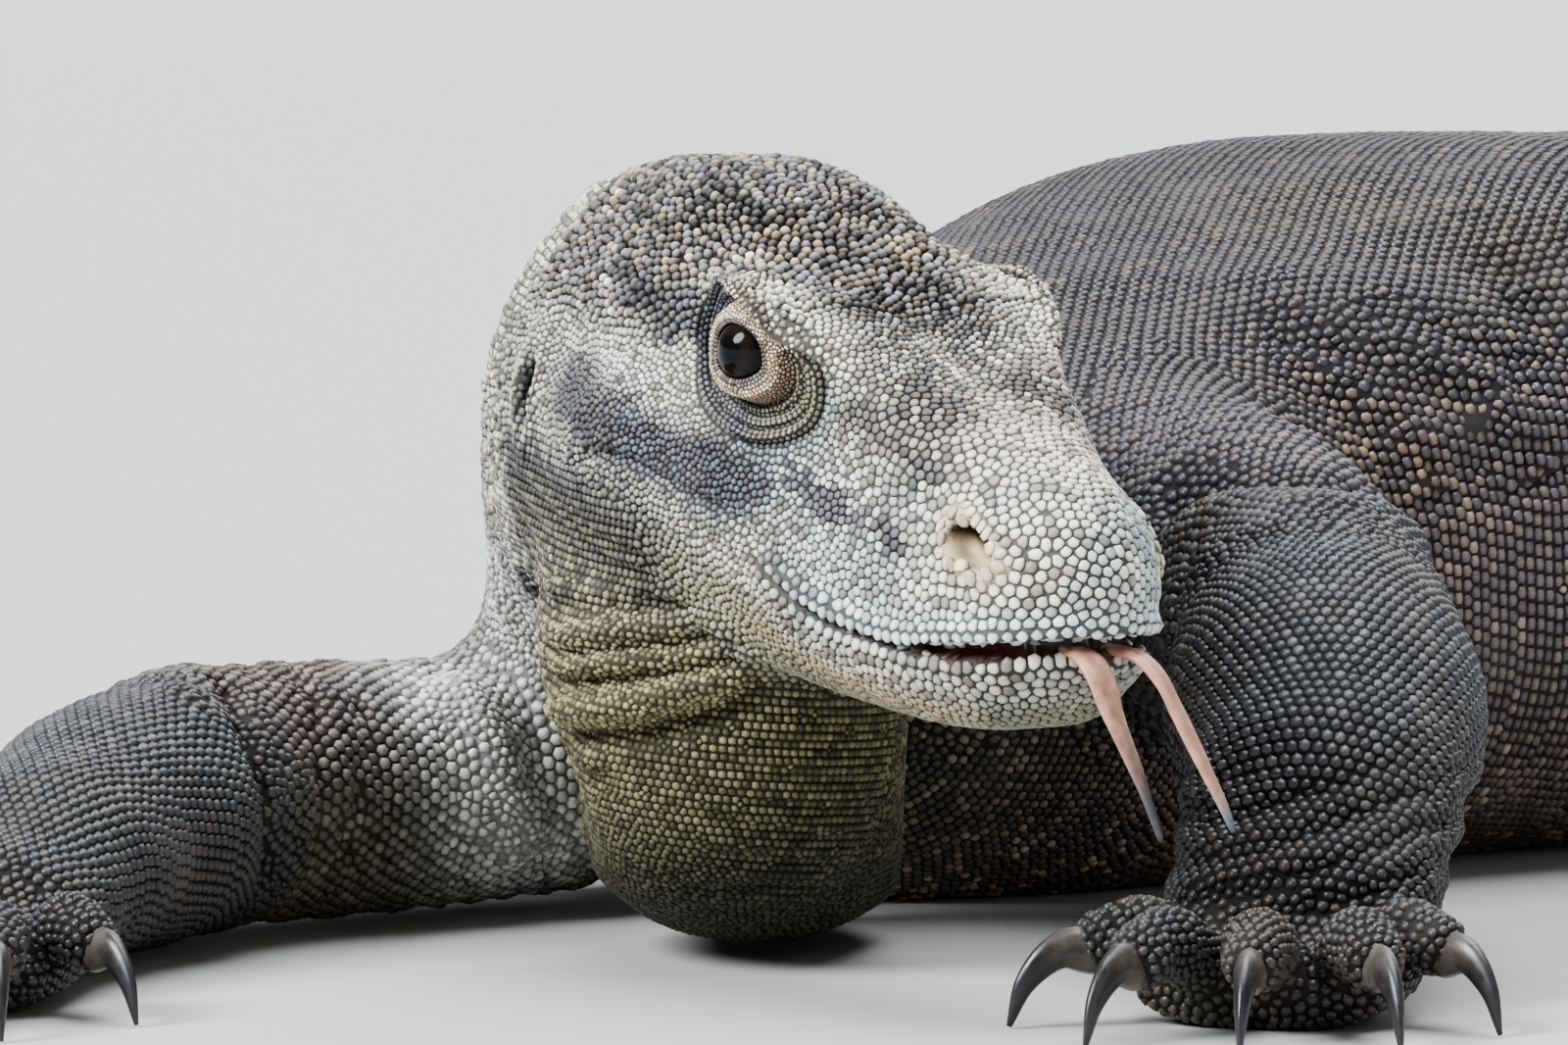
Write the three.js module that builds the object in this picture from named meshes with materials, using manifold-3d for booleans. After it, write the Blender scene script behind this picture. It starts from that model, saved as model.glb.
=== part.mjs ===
// A life-size model of an adult Komodo dragon (Varanus komodoensis) at rest on its belly,
// forelegs spread, head raised, turned to its left and tilted down, forked tongue out.
// Millimetres, +Z up, the floor at z = 0. The animal faces -Y and its body bends away to +X.
import * as THREE from "three";
import { mergeVertices } from "three/addons/utils/BufferGeometryUtils.js";
import Module from "manifold-3d";
const wasm = await Module();
wasm.setup();

// ---- driving dimensions ------------------------------------------------------------------
const HEAD_LENGTH = 191; // ear opening to snout tip
const HEAD_YAW = 30.3, HEAD_PITCH = 10, HEAD_ROLL = 0.5; // degrees
const HEAD_AT = [-22.4, 99.1, 119.5]; // the point midway between the ears at the level of the mouth
const EYE = { x: 88.5, y: 35.6, z: 48, r: 9.6 }; // in the head's own frame, for a head 200 long
const GAP = 0.45; // between neighbouring pieces
const MOUTH_GAP = 4.2; // the lips part in front, where the tongue passes
const TAIL_LENGTH = 1330;
const BELLY_SINK = 5; // how far the round belly is flattened by the floor
const M_BODY = 20, M_LEG = 11, M_TOE = 6;

// ---- helpers -----------------------------------------------------------------------------
const V = (x, y, z) => new THREE.Vector3(x, y, z);
const rad = THREE.MathUtils.degToRad;

// Monotone cubic through [[x, value], ...].
function curve(keys) {
  const n = keys.length, x = keys.map((k) => k[0]), y = keys.map((k) => k[1]);
  const d = [], m = new Array(n).fill(0);
  for (let i = 0; i < n - 1; i++) d.push((y[i + 1] - y[i]) / (x[i + 1] - x[i]));
  m[0] = d[0]; m[n - 1] = d[n - 2];
  for (let i = 1; i < n - 1; i++) m[i] = d[i - 1] * d[i] <= 0 ? 0 : (2 * d[i - 1] * d[i]) / (d[i - 1] + d[i]);
  return (t) => {
    if (t <= x[0]) return y[0];
    if (t >= x[n - 1]) return y[n - 1];
    let i = 0;
    while (t > x[i + 1]) i++;
    const h = x[i + 1] - x[i], u = (t - x[i]) / h;
    return y[i] * (1 + 2 * u) * (1 - u) ** 2 + m[i] * h * u * (1 - u) ** 2 + y[i + 1] * u * u * (3 - 2 * u) + m[i + 1] * h * u * u * (u - 1);
  };
}

// A closed mesh over rings of equal count, with a fan at each end.
function skin(rings) {
  const n = rings[0].length, pos = [], idx = [];
  for (const r of rings) for (const p of r) pos.push(p.x, p.y, p.z);
  for (let i = 0; i < rings.length - 1; i++)
    for (let j = 0; j < n; j++) {
      const a = i * n + j, b = i * n + ((j + 1) % n), c = a + n, d = b + n;
      idx.push(a, b, d, a, d, c);
    }
  for (const [r, flip] of [[0, true], [rings.length - 1, false]]) {
    const mid = rings[r].reduce((s, p) => s.add(p), V(0, 0, 0)).multiplyScalar(1 / n);
    const k = pos.length / 3;
    pos.push(mid.x, mid.y, mid.z);
    for (let j = 0; j < n; j++) {
      const a = r * n + j, b = r * n + ((j + 1) % n);
      if (flip) idx.push(k, b, a); else idx.push(k, a, b);
    }
  }
  const g = new THREE.BufferGeometry();
  g.setAttribute("position", new THREE.Float32BufferAttribute(pos, 3));
  g.setIndex(idx);
  let vol = 0;
  for (let i = 0; i < idx.length; i += 3) {
    const [p, q, r] = [0, 1, 2].map((k) => V(pos[3 * idx[i + k]], pos[3 * idx[i + k] + 1], pos[3 * idx[i + k] + 2]));
    vol += p.dot(q.cross(r));
  }
  if (vol < 0) for (let i = 0; i < idx.length; i += 3) [idx[i + 1], idx[i + 2]] = [idx[i + 2], idx[i + 1]];
  g.setIndex(idx);
  return g;
}

// Geometry to solid and back; grown moves every face out along its normal.
function solid(g) {
  const h = g.clone();
  for (const a of ["normal", "uv"]) if (h.getAttribute(a)) h.deleteAttribute(a);
  const m = mergeVertices(h, 1e-4);
  return new wasm.Manifold(new wasm.Mesh({ numProp: 3, vertProperties: new Float32Array(m.attributes.position.array), triVerts: new Uint32Array(m.index.array) }));
}
function geometry(s) {
  const m = s.getMesh(), n = m.numProp, v = new Float32Array(m.numVert * 3);
  for (let i = 0; i < m.numVert; i++) v.set(m.vertProperties.subarray(i * n, i * n + 3), i * 3);
  const g = new THREE.BufferGeometry();
  g.setAttribute("position", new THREE.BufferAttribute(v, 3));
  g.setIndex(new THREE.BufferAttribute(new Uint32Array(m.triVerts), 1));
  return g;
}
function grown(g, d) {
  const h = mergeVertices(g.clone(), 1e-4);
  h.computeVertexNormals();
  const p = h.attributes.position, n = h.attributes.normal;
  for (let i = 0; i < p.count; i++) p.setXYZ(i, p.getX(i) + n.getX(i) * d, p.getY(i) + n.getY(i) * d, p.getZ(i) + n.getZ(i) * d);
  h.deleteAttribute("normal");
  return h;
}
const largest = (s) => s.decompose().sort((a, b) => b.volume() - a.volume())[0];
function boxSolid(lo, hi) {
  const g = new THREE.BoxGeometry(hi[0] - lo[0], hi[1] - lo[1], hi[2] - lo[2]);
  g.translate((lo[0] + hi[0]) / 2, (lo[1] + hi[1]) / 2, (lo[2] + hi[2]) / 2);
  return solid(g);
}
const UNDERFLOOR = boxSolid([-3000, -3000, -400], [3000, 3000, 0]);
const aboveFloor = (s) => s.subtract(UNDERFLOOR);

// ---- the head, in its own frame: x from the ear (0) to the snout tip (200), y left, z up ---
const HS = HEAD_LENGTH / 200;
const head = {
  top: curve([[-60, 58], [-30, 67], [0, 76.5], [25, 80], [50, 78.5], [75, 70], [95, 62], [115, 55], [135, 47.5], [155, 42], [172, 38], [188, 33], [200, 28]]),
  crown: curve([[-60, 2], [0, 3], [60, 2], [85, -1.5], [110, 1], [150, 2], [200, 1.5]]),
  browY: curve([[-60, 30], [0, 36], [40, 38], [62, 37], [80, 40.5], [98, 40], [110, 34.5], [125, 29], [150, 24], [165, 20.5], [180, 17.5], [200, 13]]),
  browZ: curve([[-60, 40], [0, 54], [40, 59], [62, 58.5], [80, 63], [96, 61.5], [110, 55.5], [122, 50], [135, 43.5], [150, 36.5], [170, 29.5], [200, 23]]),
  hollow: curve([[-60, 0], [0, 2], [40, 1], [70, -2], [88, -4], [105, -3], [125, -1], [150, 0.5], [200, 0.5]]),
  sideY: curve([[-60, 45], [-20, 50], [0, 54], [20, 55.5], [45, 53], [65, 48], [88, 43.5], [110, 38], [135, 33], [160, 29], [175, 26.5], [186, 24], [200, 19]]),
  sideZ: curve([[-60, 12], [0, 20], [30, 22], [60, 24], [88, 22], [110, 17], [140, 11], [170, 11], [200, 11]]),
  lipY: curve([[-60, 44], [-20, 49], [0, 52], [20, 53], [45, 51], [65, 47.5], [88, 43.5], [110, 38.5], [135, 34], [160, 30.5], [175, 27], [186, 23.5], [200, 18]]),
  lipZ: curve([[-60, 2], [0, 8], [30, 11], [58, 12.4], [74, 11.2], [86, 8.4], [95, 4.8], [103, 0], [112, -4.4], [121, -7.4], [131, -8.8], [143, -9], [158, -7.8], [172, -5.6], [186, -2.6], [197, 0.4], [200, 1]]),
  jawY: curve([[-60, 38], [0, 47], [40, 48], [70, 43], [100, 37.5], [130, 33], [155, 29.5], [170, 25], [182, 19], [190, 13], [200, 6]]),
  jawZ: curve([[-60, -16], [0, -10], [40, -8], [70, -8], [90, -12], [120, -18], [150, -19], [175, -16], [200, -8]]),
  chin: curve([[-60, -46], [0, -44], [40, -38], [80, -35], [120, -33], [150, -30.5], [170, -27], [182, -22], [191, -15], [200, -6]]),
};
const SNOUT_ROUND = 25, SNOUT_Z = 11, JAW_TIP = 191;
// One ring of the head at x: nine points of the left side from crown to chin, mirrored and smoothed.
function headRing(x, n) {
  const t = Math.max(0, (x - (200 - SNOUT_ROUND)) / SNOUT_ROUND);
  const s = Math.sqrt(Math.max(0, 1 - t ** 2.3)), su = Math.sqrt(Math.max(0, 1 - t ** 3.2));
  const zt = head.top(x), yb = head.browY(x), zb = head.browZ(x), ys = head.sideY(x), zs = head.sideZ(x);
  const up = (z) => SNOUT_Z + (z - SNOUT_Z) * su;
  const left = [
    [0, up(zt)],
    [0.52 * yb * s, up(zt * 0.7 + zb * 0.3 + head.crown(x))],
    [yb * s, up(zb)],
    [((yb + ys) / 2 + head.hollow(x)) * s, up((zb + zs) / 2 + 1)],
    [ys * s, up(zs)],
    [head.lipY(x) * s, up(head.lipZ(x))],
    [head.jawY(x) * s, up(head.jawZ(x))],
    [0.62 * head.jawY(x) * s, up(head.chin(x) * 0.84 + head.jawZ(x) * 0.16)],
    [0, up(head.chin(x))],
  ];
  const pts = [...left.map(([y, z]) => V(x, y, z)), ...left.slice(1, -1).reverse().map(([y, z]) => V(x, -y, z))];
  const loop = new THREE.CatmullRomCurve3(pts, true, "centripetal");
  return Array.from({ length: n }, (_, j) => loop.getPoint(j / n));
}
const HEAD_MATRIX = new THREE.Matrix4()
  .makeTranslation(...HEAD_AT)
  .multiply(new THREE.Matrix4().makeRotationZ(rad(HEAD_YAW - 90)))
  .multiply(new THREE.Matrix4().makeRotationY(rad(HEAD_PITCH)))
  .multiply(new THREE.Matrix4().makeRotationX(rad(HEAD_ROLL)))
  .multiply(new THREE.Matrix4().makeScale(HS, HS, HS));
const inWorld = (g) => g.clone().applyMatrix4(HEAD_MATRIX);
const headPoint = (x, y, z) => V(x, y, z).applyMatrix4(HEAD_MATRIX);

const HEAD_BACK = -14;
const headXs = [HEAD_BACK, 4, 24, 44, 60, 72, 82, 90, 98, 107, 117, 129, 142, 156, 168, 178, 186, 192, 196.5, 199, 199.9];
const headWhole = solid(skin(headXs.map((x) => headRing(x, 28))));
// The mouth: a slot along the lip line, open in front and closing to a thin cut, then down and back to part the jaw.
const mouth = [];
for (let x = 206; x >= 52; x -= 11) mouth.push([x, head.lipZ(x) - 0.4, x > 120 ? GAP / 2 + (MOUTH_GAP / 2) * Math.min(1, (x - 120) / 55) ** 1.3 : GAP / 2]);
mouth.push([44, 0, GAP / 2], [30, -12, GAP / 2], [14, -30, GAP / 2], [2, -52, GAP / 2]);
const slot = mouth.map(([x, z, h], i) => {
  const p = mouth[Math.max(0, i - 1)], q = mouth[Math.min(mouth.length - 1, i + 1)];
  const d = V(p[0] - q[0], 0, p[1] - q[1]).normalize(), up = V(-d.z, 0, d.x).multiplyScalar(h), c = V(x, 0, z);
  return [c.clone().add(up).setY(80), c.clone().add(up).setY(-80), c.clone().sub(up).setY(-80), c.clone().sub(up).setY(80)];
});
const parted = headWhole.subtract(solid(skin(slot))).decompose().sort((a, b) => b.volume() - a.volume());
let upperHead = parted[0], lowerJaw = parted[1];
// Front of the lower jaw is set back under the snout.
lowerJaw = largest(lowerJaw.subtract(boxSolid([JAW_TIP, -60, -60], [220, 60, 60])));

const ball = (c, r, w = 14, h = 10) => { const g = new THREE.SphereGeometry(r, w, h); g.translate(...c); return g; };
const eyes = {};
for (const [side, k] of [["left", 1], ["right", -1]]) {
  const c = [EYE.x, k * EYE.y, EYE.z];
  upperHead = upperHead.subtract(solid(ball(c, EYE.r + 0.4)));
  // The lids' opening, wider outwards.
  const opening = new THREE.CylinderGeometry(EYE.r * 1.15, EYE.r * 0.72, 14, 18);
  opening.rotateX(k * Math.PI / 2).scale(1.1, 1, 0.92).translate(c[0], c[1] + k * 11.5, c[2]);
  upperHead = upperHead.subtract(solid(opening));
  // A shallow pit for the nostril, and one for the ear.
  upperHead = upperHead.subtract(solid(ball([173, k * 28, 20.5], 4.6, 10, 7)));
  const ear = ball([0, 0, 0], 1, 10, 7); ear.scale(4.2, 4, 11).translate(2, k * 55.6, 22);
  upperHead = upperHead.subtract(solid(ear));
  eyes[side] = solid(ball(c, EYE.r, 12, 9));
}
upperHead = largest(upperHead);

// ---- body rings along the spine ------------------------------------------------------------
// A ring about centre c, facing along heading (degrees from +X) and climb, half width w, top and bottom heights.
function bodyRing(x, y, heading, w, zTop, zBot, square, lean, mid, n) {
  const f = V(Math.cos(rad(heading)), Math.sin(rad(heading)), 0);
  const side = V(f.y, -f.x, 0); // the animal's left when f points at its tail... see sign below
  const zc = zBot + (zTop - zBot) * mid, ring = [];
  for (let j = 0; j < n; j++) {
    const a = (2 * Math.PI * j) / n, c = Math.cos(a), s = Math.sin(a);
    const e = 2 / square, yy = Math.sign(s) * Math.abs(s) ** e * w;
    const zz = Math.sign(c) * Math.abs(c) ** e * (c > 0 ? zTop - zc : zc - zBot);
    ring.push(V(x, y, zc + zz).addScaledVector(side, yy).addScaledVector(f, -lean * (zz / 100)));
  }
  return ring;
}
// x, y, heading, half width, top, bottom, squareness, lean
const trunkKeys = [
  [25, 240, 62, 92, 141, -BELLY_SINK, 2.2, 18, 0.42],
  [80, 316, 52, 118, 163, -BELLY_SINK, 2.5, 8, 0.45],
  [150, 400, 46, 145, 186, -BELLY_SINK, 2.9, 0, 0.46],
  [228, 466, 38, 150, 186, -BELLY_SINK, 2.6, 0, 0.46],
  [318, 524, 29, 153, 188, -BELLY_SINK, 2.4, 0, 0.46],
  [415, 569, 21, 148, 184, -BELLY_SINK, 2.3, 0, 0.46],
  [510, 601, 17, 128, 174, -BELLY_SINK, 2.2, 0, 0.46],
  [600, 627, 15, 100, 158, -BELLY_SINK, 2.1, 0, 0.46],
];
const lerp = (a, b, t) => a + (b - a) * t;
// Between key rings: each point runs on a smooth curve through its own track.
function between(rings, per, closed = false) {
  const out = [], n = rings[0].length;
  const tracks = Array.from({ length: n }, (_, j) => new THREE.CatmullRomCurve3(rings.map((r) => r[j]), closed, "centripetal"));
  const steps = (rings.length - 1) * per;
  for (let i = 0; i <= steps; i++) out.push(tracks.map((t) => t.getPoint(i / steps)));
  return out;
}
// The tail's path by heading along its length.
const tailHeading = curve([[0, 15], [300, -6], [650, -38], [1000, -34], [1330, 4]]);
const tailW = curve([[0, 102], [60, 84], [140, 62], [300, 44], [550, 31], [800, 21], [1050, 12.5], [1250, 6], [1330, 3]]);
const tailH = curve([[0, 160], [60, 142], [140, 118], [300, 92], [550, 68], [800, 47], [1050, 29], [1250, 14], [1330, 7]]);
function tailPoint(s) {
  let x = trunkKeys.at(-1)[0], y = trunkKeys.at(-1)[1];
  for (let i = 0; i < s; i += 5) {
    const st = Math.min(5, s - i), h = rad(tailHeading(i + st / 2));
    x += Math.cos(h) * st; y += Math.sin(h) * st;
  }
  return [x, y];
}
const bodySections = (n) => ({
  trunk: trunkKeys.map((k) => bodyRing(...k, n)),
  tail: [90, 190, 300, 430, 560, 690, 820, 950, 1080, 1190, 1280, 1330].map((s) => {
    const [x, y] = tailPoint(s);
    return bodyRing(x, y, tailHeading(s), tailW(s), tailH(s), s < 200 ? -BELLY_SINK + s * 0.02 : -1, 2.0, 0, 0.46, n);
  }),
});
const NB = M_BODY;
const sections = bodySections(NB);
// The neck runs from the back of the head to the shoulders.
const atHead = (x) => headRing(x, NB).map((p) => p.applyMatrix4(HEAD_MATRIX));
const neckKeys = [atHead(HEAD_BACK - GAP / HS), atHead(-30), bodyRing(-18, 160, 78, 57, 166, 40, 2.1, 30, 0.42, NB), bodyRing(-2, 198, 70, 75, 156, 4, 2.1, 24, 0.38, NB), sections.trunk[0]];
// Match the rings' sense: the head's rings run crown, left side, chin, right side.
const perKey = 2;
const axial = between([...sections.trunk, ...sections.tail], perKey);
const lastTrunk = (sections.trunk.length - 1) * perKey;
const neckRings = between(neckKeys, 2);

// A short run of rings as a solid, ended a little early so that it clears the next.
function run(rings, from, to, gapStart = true, gapEnd = true) {
  const r = rings.slice(from, to + 1).map((ring) => ring.map((p) => p.clone()));
  const pull = (a, b) => a.map((p, j) => { const d = b[j].clone().sub(p); return p.clone().addScaledVector(d, Math.min(0.5, (GAP / 2) / Math.max(d.length(), 0.1))); });
  if (gapStart) r[0] = pull(r[0], r[1]);
  if (gapEnd) r[r.length - 1] = pull(r[r.length - 1], r[r.length - 2]);
  return skin(r);
}

// ---- the throat pouch hangs from the jaw to the floor ------------------------------------------
// z, centre x, centre y, half width across, half depth
const throatKeys = [
  [108, -17, 84, 40, 40], [88, -15, 78, 44, 46], [66, -15, 82, 44, 50], [44, -13, 92, 43, 52], [24, -10, 108, 41, 52], [8, -6, 124, 34, 44], [2, -4, 132, 26, 34],
];
const throat = skin(between(throatKeys.map(([z, x, y, a, b]) =>
  Array.from({ length: 20 }, (_, j) => {
    const t = (2 * Math.PI * j) / 20;
    return V(x + a * Math.cos(t), y + b * Math.sin(t), z + (y - 95 + b * Math.sin(t)) * 0.18);
  })), 1));

// ---- legs ----------------------------------------------------------------------------------
// A limb segment: keys of [x, y, z, radius across, radius up-and-down] along its axis, round-ended.
function limb(keys, n, per = 2, square = 2, roundEnds = true) {
  const axis = new THREE.CatmullRomCurve3(keys.map((k) => V(k[0], k[1], k[2])), false, "centripetal");
  const steps = Math.round((keys.length - 1) * per), us = [];
  for (let i = 0; i <= steps; i++) us.push(i / steps);
  const rings = [];
  const ringAt = (u, scale, push) => {
    const p = axis.getPoint(u), t = axis.getTangent(u);
    const up = V(0, 0, 1).addScaledVector(t, -t.z);
    if (up.length() < 0.25) up.copy(V(0, 1, 0).addScaledVector(t, -t.y));
    up.normalize();
    const side = new THREE.Vector3().crossVectors(up, t).normalize();
    const k = u * (keys.length - 1), i = Math.min(keys.length - 2, Math.floor(k)), f = k - i, g = f * f * (3 - 2 * f);
    const a = lerp(keys[i][3], keys[i + 1][3], g) * scale, b = lerp(keys[i][4], keys[i + 1][4], g) * scale;
    p.addScaledVector(t, push);
    return Array.from({ length: n }, (_, j) => {
      const w = (2 * Math.PI * j) / n, c = Math.cos(w), s = Math.sin(w), e = 2 / square;
      return p.clone().addScaledVector(up, Math.sign(c) * Math.abs(c) ** e * b).addScaledVector(side, Math.sign(s) * Math.abs(s) ** e * a);
    });
  };
  const r0 = (keys[0][3] + keys[0][4]) / 2, r1 = (keys.at(-1)[3] + keys.at(-1)[4]) / 2;
  if (roundEnds) rings.push(ringAt(0, 0.5, -0.8 * r0 * 0.8), ringAt(0, 0.85, -0.45 * r0 * 0.8));
  for (const u of us) rings.push(ringAt(u, 1, 0));
  if (roundEnds) rings.push(ringAt(1, 0.85, 0.45 * r1 * 0.8), ringAt(1, 0.5, 0.8 * r1 * 0.8));
  return skin(rings);
}

// Each leg: upper and lower segment keys, the sole's keys, and five toes.
// A toe: base point, heading (degrees from +X), length, radius, claw length; it arches up to the knuckle and down.
const legs = {
  fore_left: {
    upper: [[88, 226, 88, 42, 44], [108, 168, 86, 38, 41], [122, 112, 80, 36, 36], [124, 82, 76, 34, 34]],
    lower: [[125, 76, 75, 35, 35], [126, 44, 63, 38, 37], [124, 12, 46, 33, 32], [118, -16, 27, 31, 20]],
    palm: [[120, -2, 23, 30, 17], [114, -24, 13, 33, 14], [108, -42, 9, 31, 10]],
    toes: [
      { at: [90, -34, 16], to: 200, len: 22, r: 8.0, claw: 23 },
      { at: [92, -50, 16], to: 236, len: 26, r: 8.2, claw: 23 },
      { at: [108, -54, 16], to: 260, len: 28, r: 8.2, claw: 23 },
      { at: [126, -50, 16], to: 282, len: 26, r: 8.2, claw: 23 },
      { at: [136, -34, 16], to: 308, len: 20, r: 7.8, claw: 21 },
    ],
  },
  fore_right: {
    upper: [[-60, 208, 33, 36, 30], [-92, 182, 33, 35, 31], [-124, 152, 34, 34, 32], [-146, 128, 35, 33, 31]],
    lower: [[-144, 126, 34, 33, 32], [-158, 94, 32, 34, 31], [-171, 56, 27, 29, 26], [-181, 20, 20, 24, 17]],
    palm: [[-179, 30, 18, 24, 15], [-186, 4, 11.4, 28, 12], [-192, -18, 9, 27, 10]],
    toes: [
      { at: [-168, -12, 15], to: 304, len: 22, r: 7.8, claw: 21 },
      { at: [-180, -28, 15], to: 278, len: 27, r: 8.0, claw: 23 },
      { at: [-196, -32, 15], to: 256, len: 29, r: 8.0, claw: 23 },
      { at: [-212, -26, 15], to: 234, len: 27, r: 7.8, claw: 22 },
      { at: [-216, -8, 15], to: 204, len: 22, r: 7.4, claw: 20 },
    ],
  },
  hind_left: {
    upper: [[584, 572, 72, 56, 54], [556, 506, 64, 50, 48], [528, 444, 54, 42, 40], [520, 418, 50, 38, 38]],
    lower: [[520, 424, 48, 38, 38], [548, 396, 44, 37, 36], [586, 362, 34, 28, 28], [612, 338, 24, 22, 20]],
    palm: [[606, 344, 19, 23, 16], [582, 320, 11.4, 27, 12], [560, 300, 9, 27, 10]],
    toes: [
      { at: [580, 288, 14], to: 262, len: 24, r: 7.8, claw: 21 },
      { at: [564, 284, 14], to: 246, len: 34, r: 8.2, claw: 23 },
      { at: [552, 290, 14], to: 228, len: 44, r: 8.4, claw: 23 },
      { at: [544, 302, 14], to: 210, len: 50, r: 8.4, claw: 23 },
      { at: [560, 326, 14], to: 178, len: 34, r: 7.8, claw: 21 },
    ],
  },
  hind_right: {
    upper: [[548, 694, 72, 56, 54], [496, 742, 64, 50, 48], [450, 792, 54, 42, 40], [436, 814, 50, 38, 38]],
    lower: [[438, 810, 48, 38, 38], [472, 828, 44, 37, 36], [518, 848, 34, 28, 28], [550, 860, 24, 22, 20]],
    palm: [[542, 856, 19, 23, 16], [526, 886, 11.4, 27, 12], [514, 908, 9, 27, 10]],
    toes: [
      { at: [534, 910, 14], to: 78, len: 24, r: 7.8, claw: 21 },
      { at: [522, 920, 14], to: 92, len: 34, r: 8.2, claw: 23 },
      { at: [508, 922, 14], to: 112, len: 44, r: 8.4, claw: 23 },
      { at: [496, 916, 14], to: 132, len: 50, r: 8.4, claw: 23 },
      { at: [494, 894, 14], to: 168, len: 34, r: 7.8, claw: 21 },
    ],
  },
};
function toeGeometry({ at, to, len, r, claw }) {
  const f = V(Math.cos(rad(to)), Math.sin(rad(to)), 0);
  const P = (d, z) => V(at[0], at[1], 0).addScaledVector(f, d).setZ(z);
  // The toe starts inside the sole, arches over its knuckles and ends above the floor.
  const path = [P(-12, at[2] - 4), P(0, at[2]), P(len * 0.4, at[2] + 4.5), P(len * 0.76, at[2] + 4), P(len, at[2] + 0.5)];
  const rr = [r * 0.86, r * 1.02, r * 1.08, r, r * 0.84];
  const axis = new THREE.CatmullRomCurve3(path, false, "centripetal"), rings = [];
  const side = V(-f.y, f.x, 0);
  for (let i = 0; i <= 5; i++) {
    const u = i / 5, p = axis.getPoint(u), t = axis.getTangent(u), up = new THREE.Vector3().crossVectors(t, side).normalize();
    const k = u * 4, q = Math.min(3, Math.floor(k)), R = lerp(rr[q], rr[q + 1], k - q);
    rings.push(Array.from({ length: M_TOE }, (_, j) => {
      const w = (2 * Math.PI * j) / M_TOE;
      return p.clone().addScaledVector(up, Math.cos(w) * R).addScaledVector(side, Math.sin(w) * R);
    }));
  }
  // The claw leaves the toe's end, hooks over and comes down to the floor.
  const tip = axis.getPoint(1), t1 = axis.getTangent(1);
  const nail = [], c0 = tip.clone().addScaledVector(t1, GAP);
  const hook = new THREE.CatmullRomCurve3([c0, c0.clone().addScaledVector(f, claw * 0.36).add(V(0, 0, 0.4)), c0.clone().addScaledVector(f, claw * 0.72).setZ(c0.z * 0.62), c0.clone().addScaledVector(f, claw * 0.9).setZ(0.3)], false, "centripetal");
  for (let i = 0; i <= 4; i++) {
    const u = i / 4, p = hook.getPoint(u), t = u === 0 ? t1.clone() : hook.getTangent(u), up = new THREE.Vector3().crossVectors(t, side).normalize();
    const R = r * 0.66 * (1 - 0.84 * u ** 1.25);
    nail.push(Array.from({ length: 5 }, (_, j) => {
      const w = (2 * Math.PI * j) / 5;
      return p.clone().addScaledVector(up, Math.cos(w) * R * 1.12).addScaledVector(side, Math.sin(w) * R * 0.8);
    }));
  }
  return [skin(rings), skin(nail)];
}

// ---- tongue ----------------------------------------------------------------------------------
// Two flat tines from one root in the mouth; keys of [x, y, z, half width, half thickness] in the head's frame.
function ribbon(keys, n = 6) {
  const axis = new THREE.CatmullRomCurve3(keys.map((k) => V(k[0], k[1], k[2])), false, "centripetal");
  const rings = [], steps = keys.length;
  for (let i = 0; i <= steps; i++) {
    const u = i / steps, p = axis.getPoint(u), t = axis.getTangent(u), side = V(0, 1, 0).addScaledVector(t, -t.y).normalize(), up = new THREE.Vector3().crossVectors(t, side);
    const k = u * (keys.length - 1), q = Math.min(keys.length - 2, Math.floor(k)), a = lerp(keys[q][3], keys[q + 1][3], k - q), b = lerp(keys[q][4], keys[q + 1][4], k - q);
    rings.push(Array.from({ length: n }, (_, j) => {
      const w = (2 * Math.PI * j) / n;
      return p.clone().addScaledVector(side, Math.cos(w) * a).addScaledVector(up, Math.sin(w) * b);
    }));
  }
  return skin(rings);
}
const tongueRuns = [
  [[160, 0, -8.1, 5.2, 1.1], [172, 0, -6, 5.4, 1.2], [183, 0, -3.9, 5, 1.25], [187, 0, -2.9, 4.4, 1.2]],
  [[182, -2.6, -4, 2.6, 1.15], [190, -4.4, -2, 3.4, 1.3], [200, -5.2, -2.2, 4, 1.4], [209, -3.8, -13, 4.1, 1.4], [215, -0.8, -26, 3.3, 1.2], [218, 1.4, -36, 1.7, 0.9], [219, 2.2, -41, 0.8, 0.6]],
  [[182, 2.6, -4, 2.4, 1.15], [190, 4.4, -2, 2.6, 1.25], [200, 8.5, -2.2, 2.8, 1.35], [210, 13, -12, 2.8, 1.3], [218, 17, -24, 2.4, 1.2], [223, 20, -33, 1.6, 0.9], [225, 21.4, -38, 0.8, 0.6]],
].map((keys) => ribbon(keys));
const tongue = tongueRuns.map(solid).reduce((a, b) => a.add(b));
const tongueRoom = tongueRuns.map((g) => solid(grown(g, GAP))).reduce((a, b) => a.add(b));
upperHead = largest(upperHead.subtract(tongueRoom));
lowerJaw = largest(lowerJaw.subtract(tongueRoom));

// ---- assemble ----------------------------------------------------------------------------------
const model = new THREE.Group();
const hide = { skinDark: 0x4b4641, skinHead: 0xa9a79a, throat: 0x6d6a4c, claw: 0x2b2724, eye: 0x07080a, tongue: 0xc99a86 };
function put(name, s, color, roughness = 0.7) {
  const g = s.isBufferGeometry ? s : geometry(s);
  g.translate(...SHIFT);
  const mesh = new THREE.Mesh(g, new THREE.MeshStandardMaterial({ color, roughness, metalness: 0 }));
  mesh.name = name;
  model.add(mesh);
}
const whole = {}, big = {};
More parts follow.
